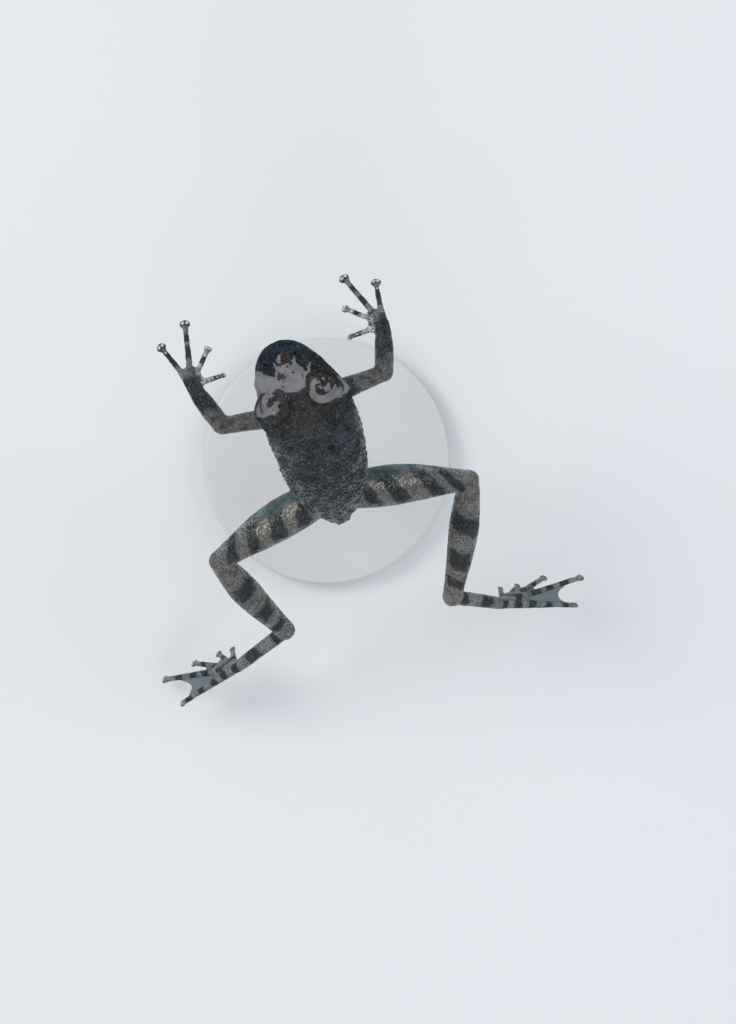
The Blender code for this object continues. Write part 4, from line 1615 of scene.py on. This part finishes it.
@dataclass(frozen=True)
class FrogSkin:
    """The one skin over head, trunk, arms and legs.

    A spot on the body is its station and its angle on the left side. Each reach is how far round a
    spot or joint the skin is refined or softened. Lines on the head's plan are the dark edge beside
    the right eye and the painted shadow along the lids' edges.
    """

    body: BodyForm
    eyes: tuple[Eye, Eye]
    limbs: tuple[Limbs, Limbs]
    voxel: float = 0.184
    mouth_angle: float = -13.0
    mouth_end: float = 9.3
    nostril: Span = (1.35, 52.0)
    eardrum: Span = (8.5, 12.0)
    cheek: Span = (2.9, 18.0)
    brow: Span = (4.0, 6.5)
    eye_reach: float = 3.0
    nostril_reach: float = 0.9
    eardrum_reach: float = 1.2
    brow_reach: float = 2.9
    join_width: float = 0.55
    join_rounds: int = 11
    joint_rounds: int = 17
    joint_reach: Triple = (1.2, 1.3, 1.0)
    blur: int = 6
    pad_rise: float = 0.25
    knuckle_back: float = 0.95
    knuckle_width: float = 0.22
    dark_edge: Pairs = ((-2.3, -9.4), (-3.2, -9.0), (-4.1, -7.9))
    # The lids' lines are painted shadow under the upper lids' edges.
    lid_shadow_lines: tuple[Pairs, ...] = (
        (
            (-3.3, -8.06), (-3.7, -7.81), (-3.96, -7.37), (-4.09, -6.86), (-4.12, -6.32),
            (-4.06, -6.05),
        ),
        ((4.18, -7.45), (4.49, -6.74), (4.58, -5.96)),
    )

    @cached_property
    def forms(self) -> list[LimbForm]:
        """Every stretch of the limbs."""
        return [form for limb in self.limbs for form in limb.forms]

    @cached_property
    def mouth(self) -> list[Vector]:
        """The line of the mouth, from jaw corner to jaw corner."""
        shares = [math.sin(math.pi / 2 * k / 24) for k in range(25)]
        stations = [self.mouth_end * (1 - share) + 0.02 for share in shares]
        line = [self.body.surface(at, self.mouth_angle) for at in stations]
        return line + [self.body.surface(at, 180 - self.mouth_angle) for at in stations[::-1]]

    def at(self, side: Side, spot: Span) -> Vector:
        """Return a spot of the body on one side."""
        return self.body.surface(spot[0], side.angle(spot[1]))

    def cast(self) -> Mesh:
        """Mould the whole frog and cover it with an even mesh.

        Returns:
            The mesh, in millimetres.
        """
        shapes = Mould()
        stations = [0.0, 0.12, 0.3, 0.55, 0.85]
        stations += [1.2 + 0.4 * k for k in range(72)]
        stations += [30.2, self.body.length]
        angles = [360 * k / 72 for k in range(72)]
        shapes.tube([self.body.ring(at, angles) for at in stations])
        for eye in self.eyes:
            shapes.ball(eye.lid_centre, eye.lid_radius)
        for limb in self.limbs:
            limb.mould(shapes)
        return shapes.remeshed("frog_skin", self.voxel)

    def refine(self, mesh: Mesh) -> None:
        """Split the faces round the eyes, nostrils, eardrums and brow in four.

        Args:
            mesh: The skin.
        """
        spots = [(eye.centre, self.eye_reach) for eye in self.eyes]
        for side in Side:
            spots.append((self.at(side, self.nostril), self.nostril_reach))
            spots.append((self.at(side, self.eardrum), self.eardrum_reach))
        spots += [(self.body.surface(station, 90.0), self.brow_reach) for station in self.brow]
        bm = bmesh.new()
        bm.from_mesh(mesh)
        edges = [
            edge
            for edge in bm.edges
            if any(all((v.co - spot).length < size for v in edge.verts) for spot, size in spots)
        ]
        bmesh.ops.subdivide_edges(bm, edges=edges, cuts=1, use_grid_fill=True)
        bmesh.ops.triangulate(bm, faces=[face for face in bm.faces if len(face.verts) > 4])
        bm.to_mesh(mesh)
        bm.free()

    def measure(self, surface: Surface) -> Fields:
        """Find where each point lies on the body and the limbs.

        Args:
            surface: The skin.

        Returns:
            Numbers for every point: its station along the body, how far up the section's round it
            lies, how much further the next form is than the nearest, the nearest stretch with its
            kind, distance and share, how far the point is on a limb, and its normal.
        """
        points = surface.points
        stations = np.linspace(0.0, self.body.length, 77)
        frames = np.array([[tuple(axis) for axis in self.body.axes(float(at))] for at in stations])
        chunks = np.array_split(points, len(points) // 20000 + 1)
        gaps = (np.linalg.norm(chunk[:, None] - frames[None, :, 0], axis=2) for chunk in chunks)
        nearest = np.concatenate([gap.argmin(axis=1) for gap in gaps])
        centre, *axes = frames[nearest].transpose(1, 0, 2)
        across, rise, ahead = (np.einsum("ij,ij->i", points - centre, axis) for axis in axes)
        sizes = np.array([self.body.sizes(float(at)) for at in stations])[nearest]
        height = np.where(rise > 0, sizes[:, 1], sizes[:, 2])
        body_gap = (np.hypot(across / sizes[:, 0], rise / height) - 1) * sizes[:, 0]
        best, second = np.full(len(points), FAR), body_gap
        found, share = np.zeros(len(points), dtype=int), np.zeros(len(points))
        for index, form in enumerate(self.forms):
            here, gap = form.measure(points)
            closer = gap < best
            second = np.minimum(second, np.where(closer, best, gap))
            best = np.where(closer, gap, best)
            found = np.where(closer, index, found)
            share = np.where(closer, here, share)
        following = np.where(body_gap < best, best, second)
        return {
            "along": stations[nearest] - ahead,
            "under": rise / np.hypot(across, rise).clip(TINY),
            "between": following - np.minimum(body_gap, best),
            "limb_gap": best,
            "form": found,
            "kind": np.array([form.part.value for form in self.forms])[found],
            "share": share,
            "on_limb": step(body_gap - best, -0.4, 0.4),
            "normals": surface.normals(),
        }

    def soften(self, surface: Surface) -> None:
        """Round off the joins of limbs, lids and digits.

        Args:
            surface: The skin.
        """
        surface.relax(0.5, 2)
        where = self.measure(surface)
        digit = (where["on_limb"] > 0.5) & np.isin(where["kind"], (Part.FINGER.value, Part.TOE.value))
        join = bell(where["between"], 0.0, self.join_width) * ~digit
        for eye in self.eyes:
            ring = surface.gap(eye.lid_centre)
            join = np.maximum(join, bell(ring, eye.lid_radius + 0.1, 0.35) * 0.8)
        surface.relax(join * 0.5, self.join_rounds)
        joints = [where["on_limb"] * (where["kind"] == Part.HAND.value)]
        for limb in self.limbs:
            places = (limb.forms[0].end, limb.arm[-1], limb.leg[-1])
            joints += map(surface.spot, places, self.joint_reach)
        close = surface.spread(np.maximum.reduce(joints), self.blur)
        surface.relax(close * 0.5, self.joint_rounds)

    def carve_eye(self, surface: Surface, eye: Eye) -> None:
        """Open the lids round one eyeball.

        Args:
            surface: The skin.
            eye: The eye.
        """
        _, above, out = (np.array(axis) for axis in eye.axes)
        slit, gap, direction = eye.slit(surface.points)
        near = step(gap, 2.9, 2.2) * (direction @ out > -0.1)
        rim = eye.radius + eye.lid_gap + eye.lid_thickness * step(slit, 1.0, 1.3)
        lid = np.where(slit < 1.0, eye.radius * eye.socket, rim)
        upper = step(direction @ above, -0.05, 0.25)
        hold = step(slit - upper * 0.3, 1.62, 1.28) * near
        ridge = eye.lid_edge * bell(slit, 1.16, 0.1)
        ridge += upper * eye.lid_overhang * bell(slit, 1.2, 0.30)
        target = np.array(eye.centre) + direction * (lid + ridge)[:, None]
        surface.points += (target - surface.points) * hold[:, None]

    def sculpt(self, surface: Surface) -> None:
        """Shape the folds, lips, nostrils, eardrums and grains of the skin.

        Args:
            surface: The skin.
        """
        where = self.measure(surface)
        trunk = 1 - where["on_limb"]
        head = step(where["along"], 12.0, 9.0) * trunk
        amount = head * relief(line_gap(surface.points, self.mouth), LIPS)
        for side in Side:
            ridge = [self.at(side, (1.6 + 0.6 * k, 50.0 - 1.5 * k)) for k in range(5)]
            shares = (0, 0.17, 0.33, 0.5, 0.67, 0.83, 1.0)
            fold = [self.at(side, (7.3 + 2.85 * t, 44 - 30 * t * t)) for t in shares]
            drum = surface.gap(self.at(side, self.eardrum))
            amount += relief(surface.gap(self.at(side, self.nostril)), NOSTRIL_RIM)
            amount += head * relief(line_gap(surface.points, ridge), SNOUT_RIDGE)
            amount += head * relief(surface.gap(self.at(side, self.cheek)), CHEEK_HOLLOW)
            amount += relief(drum, EARDRUM_RIM) - EARDRUM_SINK * step(drum, *EARDRUM_EDGE)
            amount += relief(line_gap(surface.points, fold), EAR_FOLD)
        lumps = sum(surface.grain(*grain) for grain in LUMPS)
        flank = bell(where["normals"][:, 2], 0.1, 0.45)
        warts = np.maximum(0.0, surface.grain(*WARTS) - LEAST_WART) * (0.12 + 0.88 * flank)
        back = lumps * (1 - head * 0.6) + surface.grain(*FINE_GRAIN) + warts * (1 - head)
        outer = where["limb_gap"] > -0.3
        amount += trunk * back + where["on_limb"] * outer * surface.grain(*LIMB_GRAIN)
        surface.points += where["normals"] * amount[:, None]
        for eye in self.eyes:
            self.carve_eye(surface, eye)

    def speckles(
        self, form: LimbForm, surface: Surface, where: Fields, lit: Array | float
    ) -> Array | float:
        """Say how thick the pale dots lie on one stretch.

        Args:
            form: The stretch.
            surface: The skin.
            where: Its places, as measured.
            lit: How much each of its points is lit.

        Returns:
            From 0 for none to 1.
        """
        share = where["share"]
        if form.part is Part.THIGH:
            return 0.2 + 0.68 * lit
        if form.part is Part.HAND:
            inner = form.side.value * (surface.points[:, 0] - form.start.x) < -0.8
            return np.where(inner, 0.9, 0.3)
        if form.part is not Part.FINGER:
            return COATS[form.part].dots
        if form.order < 2:
            return 0.55 + 0.45 * step(share, 0.6, 0.4)
        return 0.15 + 0.35 * step(share, 0.35, 0.1)

    def limb_fields(self, surface: Surface, where: Fields) -> Fields:
        """Lay out the limbs' markings, and the painted rim highlights of the limbs and flanks.

        Args:
            surface: The skin.
            where: Its places, as measured.

        Returns:
            Named fields for the finish.
        """
        share, normals, on_limb = where["share"], where["normals"], where["on_limb"]
        side_on = 1 - np.abs(normals[:, 2])
        names = ("bars", "speckled", "lit", "front", "rim")
        fields = {name: np.zeros(surface.count) for name in names}
        for index, form in enumerate(self.forms):
            coat = COATS[form.part]
            facing = normals @ np.array(form.leading)
            leant = share - form.slant * facing
            bars = np.maximum.reduce([bell(leant, at, width * 1.25) for at, width in form.bars])
            lit = front = 0.0
            # The rim is a painted highlight where the limb turns side-on.
            rim = step(side_on, 0.35, 0.72) * coat.rim_highlit
            if form.part is Part.THIGH:
                lit = bell(facing, 0.35, 0.4) * step(share, 0.85, 0.5)
                front = step(facing, 0.40, 0.85) * step(share, 0.80, 0.28)
                brow = step(side_on, 0.14, 0.45) * step(facing, 0.25, 0.6) * step(share, 0.35, 0.6)
                rim = np.maximum(rim * (1 - front), brow)
            speckled = self.speckles(form, surface, where, lit)
            values = (coat.gaps + coat.bars * bars, speckled, lit, front, rim)
            for name, value in zip(names, values):
                fields[name] = np.where(where["form"] == index, value, fields[name])
        for name in ("bars", "speckled", "lit"):
            fields[name] = surface.spread(fields[name], self.blur)
        fields["front"] = surface.spread(fields["front"] * on_limb, 10)
        cool = np.array([COATS[form.part].cool for form in self.forms])[where["form"]]
        fields["foot"] = surface.spread(cool * on_limb, self.blur)
        # A painted rim highlight along the trunk's side-on flanks.
        flank = bell(normals[:, 2], 0.14, 0.3) * (1 - on_limb) * step(where["along"], 9, 12)
        fields["rim"] = np.maximum(fields["rim"] * on_limb, flank)
        return fields

    def head_fields(self, surface: Surface, where: Fields) -> Fields:
        """Lay out the head's markings, its painted sky reflections and the painted shade behind the
        shoulders.

        Args:
            surface: The skin.
            where: Its places, as measured.

        Returns:
            Named fields for the finish, 0.5 at a mark's edge.
        """
        plan = plan_of(surface.points)
        x, y = plan.T
        trunk, facing = 1 - where["on_limb"], where["normals"][:, 2]
        near = (y < -3.0) & (where["on_limb"] < 0.6)
        upper = step(facing, -0.04, 0.20)

        def field_of(marks: Sequence[Outline]) -> Array:
            """Lay out marks.

            Args:
                marks: Their outlines on the plan.

            Returns:
                A field that crosses 0.5 at the outlines.
            """
            values = np.zeros(surface.count)
            depths = [depth_inside(plan[near], outline) for outline in marks]
            values[near] = np.clip(0.5 + np.maximum.reduce(depths), 0.0, 1.0)
            return values

        on_head = step(where["along"], 10.5, 8.5)
        above_chin = np.maximum(step(where["under"], -0.66, -0.38), step(facing, -0.15, 0.15))
        dark_edge = bell(line_gap(plan, self.dark_edge), 0.0, 0.85)
        folded = np.column_stack((np.abs(surface.points[:, 0]), surface.points[:, 1]))
        return {
            # Painted sky reflections, only on faces turned up.
            "patch": field_of(GLARE_MARKS) * upper,
            "holes": field_of(DARK_DOTS),
            "brown": field_of(BROWN_MARKS) * upper,
            "snout": np.minimum(field_of(MUZZLE_MARK), on_head) * above_chin * trunk,
            "warm": bell(y, -4.9, 2.6) * step(np.abs(x), 4.6, 2.6) * trunk,
            "blot": oval(plan, *BLOT) * (facing > 0),
            "gloom": np.maximum(dark_edge, oval(plan, *NAPE) * 0.5) * trunk,
            # Painted shade behind the shoulders.
            "hollow": oval(folded, *SHOULDER_SHADE),
        }

    def pads(self, surface: Surface) -> Array:
        """Lay out the pale spots on the digits' discs and knuckles.

        Args:
            surface: The skin.

        Returns:
            A field for the finish.
        """
        spots = []
        for tip in (tip for limb in self.limbs for tip in limb.tips):
            top, disc = tip.place + tip.face * self.pad_rise, tip.digit.disc
            across = tip.way.cross(tip.face) * (disc * 0.40)
            for dot in (top - across, top + across):
                spots.append(surface.spot(dot + tip.way * (disc * 0.16), 0.06 + disc * 0.28))
            if tip.digit.knob:
                knuckle = surface.spot(top - tip.way * self.knuckle_back, self.knuckle_width)
                spots.append(knuckle * tip.digit.knob)
        return np.maximum.reduce(spots)

    def creases(self, surface: Surface, where: Fields) -> Array:
        """Lay out the painted shadow lines of the mouth, the nostrils and the lids.

        Args:
            surface: The skin.
            where: Its places, as measured.

        Returns:
            A field for the finish.
        """
        lines = [bell(line_gap(surface.points, self.mouth), 0.0, 0.1)]
        lines += [surface.spot(self.at(side, self.nostril), 0.12) for side in Side]
        for eye in self.eyes:
            slit, gap, direction = eye.slit(surface.points)
            upper = step(direction @ np.array(eye.axes[1]), -0.1, 0.2)
            lines.append(step(slit - upper * 0.42, 1.14, 1.02) * (gap < 2.4))
        # Painted shadow under the upper lids' edges, on the head's plan.
        plan = plan_of(surface.points)
        lids = np.minimum.reduce([line_gap(plan, line) for line in self.lid_shadow_lines])
        lines.append(bell(lids, 0.0, 0.15) * step(where["normals"][:, 2], -0.3, 0.0))
        return np.maximum.reduce(lines)

    def paint(self, surface: Surface) -> None:
        """Store the fields that the skin's finish reads.

        Args:
            surface: The skin.
        """
        where = self.measure(surface)
        on_limb, facing = where["on_limb"], where["normals"][:, 2]
        below = step(where["under"], -0.35, -0.8) * step(facing, 0.25, 0.0) * (1 - on_limb)
        fields = self.limb_fields(surface, where) | self.head_fields(surface, where)
        fields |= {
            "limb": on_limb,
            "belly": np.maximum(below, on_limb * step(facing, -0.45, -0.85) * 0.8),
            "pads": self.pads(surface),
            "crease": self.creases(surface, where),
            "web": np.zeros(surface.count),
        }
        for name, values in fields.items():
            mark(surface.mesh, name, values)

    def add_webs(self, mesh: Mesh) -> None:
        """Join the webs to the skin, marked as web.

        Args:
            mesh: The skin.
        """
        bm = bmesh.new()
        bm.from_mesh(mesh)
        before = len(bm.verts)
        for limb in self.limbs:
            limb.webs(bm)
        layers = [bm.verts.layers.float[name] for name in ("web", "limb")]
        bm.verts.ensure_lookup_table()
        for vert in bm.verts[before:]:
            for layer in layers:
                vert[layer] = 1.0
        bm.to_mesh(mesh)
        bm.free()

    def build(self, finish: Material) -> Piece:
        """Build the skin.

        Args:
            finish: The skin's material.

        Returns:
            The skin, in the place of every node of flesh.
        """
        mesh = self.cast()
        surface = Surface(mesh)
        self.soften(surface)
        surface.write()
        self.refine(mesh)
        surface = Surface(mesh)
        surface.relax(0.4, 1)
        self.sculpt(surface)
        surface.write()
        self.paint(surface)
        self.add_webs(mesh)
        parts = ("upper_arm", "forearm", "hand", "thigh", "shank", "foot")
        nodes = [f"{part}_{side.label}" for side in Side for part in parts]
        return place_piece(mesh, finish, ("head", "torso", *nodes))


@dataclass(frozen=True)
class Stand:
    """The round base and the rod up to the belly, in millimetres."""

    radius: float = 15.0
    height: float = 2.4
    edge: float = 0.5
    rod_radius: float = 1.1
    rod_edge: float = 0.15
    crisp: float = 35.0

    def lathe(self, name: str, radius: float, low: float, high: float, edge: float) -> Mesh:
        """Build an upright disc or rod with a rounded rim.

        Args:
            name: Name of the mesh.
            radius: Its radius.
            low: Height of its underside.
            high: Height of its top.
            edge: Radius of its rims.

        Returns:
            The mesh, in millimetres.
        """
        bm = bmesh.new()
        bmesh.ops.create_cone(
            bm, cap_ends=True, segments=128, radius1=radius, radius2=radius, depth=high - low
        )
        bmesh.ops.translate(bm, vec=(0, 0, (high + low) / 2), verts=bm.verts)
        rims = [line for line in bm.edges if abs(line.verts[0].co.z - line.verts[1].co.z) < TINY]
        shape = {"segments": 5, "profile": 0.5, "affect": "EDGES", "material": -1}
        bmesh.ops.bevel(bm, geom=rims, offset=edge, **shape)
        bmesh.ops.recalc_face_normals(bm, faces=bm.faces)
        return mesh_of(bm, name)

    def build(self, finish: Material) -> None:
        """Build the base and the rod.

        Args:
            finish: The stand's material.
        """
        low, high = (corner.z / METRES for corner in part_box("stand_rod"))
        base = self.lathe("stand_base_painted", self.radius, 0.0, self.height, self.edge)
        rod = self.lathe("stand_rod_painted", self.rod_radius, low, high, self.rod_edge)
        for mesh, node in ((base, "stand_base"), (rod, "stand_rod")):
            piece = place_piece(mesh, finish, (node,))
            piece.data.set_sharp_from_angle(angle=math.radians(self.crisp))


@dataclass(frozen=True)
class Lamp:
    """One soft round light, in metres and watts."""

    name: str
    place: Triple
    size: float
    power: float
    tint: Triple

    def hang(self) -> None:
        """Hang the light, aimed at the frog."""
        light = bpy.data.lights.new(self.name, "AREA")
        light.shape = "DISK"
        light.size = self.size
        light.energy = self.power
        light.color = self.tint
        lamp = put(self.name, light)
        lamp.location = self.place
        toward = Vector((0.0, 0.0, 0.03)) - Vector(self.place)
        lamp.rotation_euler = toward.to_track_quat("-Z", "Y").to_euler()


@dataclass(frozen=True)
class Studio:
    """The floor, the lights and the camera, which looks straight down from the viewpoint."""

    camera_roll: float = 18.0
    lens: float = 95.9
    sensor: float = 36.0
    floor_size: float = 1.6
    room: Triple = (0.92, 0.96, 1.0)
    room_strength: float = 0.72
    lamps: tuple[Lamp, ...] = (
        Lamp("key", (0.36, -0.34, 0.44), 0.34, 1.7, (1.0, 0.985, 0.96)),
        Lamp("fill", (-0.46, -0.02, 0.34), 0.40, 0.7, (0.93, 0.97, 1.0)),
        Lamp("back", (0.12, 0.48, 0.36), 0.30, 0.6, (0.97, 0.98, 1.0)),
    )

    def floor(self) -> None:
        """Lay the floor."""
        bm = bmesh.new()
        bmesh.ops.create_grid(bm, x_segments=2, y_segments=2, size=self.floor_size)
        mesh = mesh_of(bm, "studio_floor")
        mesh.materials.append(FloorFinish().build())
        put("studio_floor", mesh)

    def lights(self) -> None:
        """Hang the lights and set the soft room light."""
        for lamp in self.lamps:
            lamp.hang()
        world = bpy.data.worlds.new("room")
        world.use_nodes = True
        glow = world.node_tree.nodes["Background"]
        glow.inputs["Color"].default_value = (*self.room, 1.0)
        glow.inputs["Strength"].default_value = self.room_strength
        bpy.context.scene.world = world
        bpy.context.scene.view_settings.view_transform = "Standard"

    def camera(self) -> None:
        """Set the camera over the frog, rolled as in the photograph."""
        data = bpy.data.cameras.new("camera")
        data.lens = self.lens
        data.sensor_width = self.sensor
        data.clip_start = 0.01
        data.clip_end = 10.0
        camera = put("camera", data)
        roll = math.radians(self.camera_roll)
        right = Vector((-math.cos(roll), math.sin(roll), 0.0))
        up = Vector((-math.sin(roll), -math.cos(roll), 0.0))
        turn = Matrix((right, up, Vector((0.0, 0.0, 1.0)))).transposed()
        place = Matrix.Translation(Vector(VIEWPOINT) * METRES)
        camera.matrix_world = place @ turn.to_4x4()
        bpy.context.scene.camera = camera


def main() -> None:
    """Dress the frog and its stand, and set up the studio."""
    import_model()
    body = BodyForm()
    eyes = (Eye(Side.RIGHT, body), Eye(Side.LEFT, body))
    limbs = (Limbs(RIGHT_POSE, body), Limbs(LEFT_POSE, body))
    eye_finish = EyeFinish().build()
    for eye in eyes:
        eye.build(eye_finish)
    FrogSkin(body, eyes, limbs).build(SkinFinish().build())
    Stand().build(StandFinish().build())
    studio = Studio()
    studio.floor()
    studio.lights()
    studio.camera()


if __name__ == "__main__":
    logging.basicConfig(level=logging.INFO, format="%(message)s")
    main()
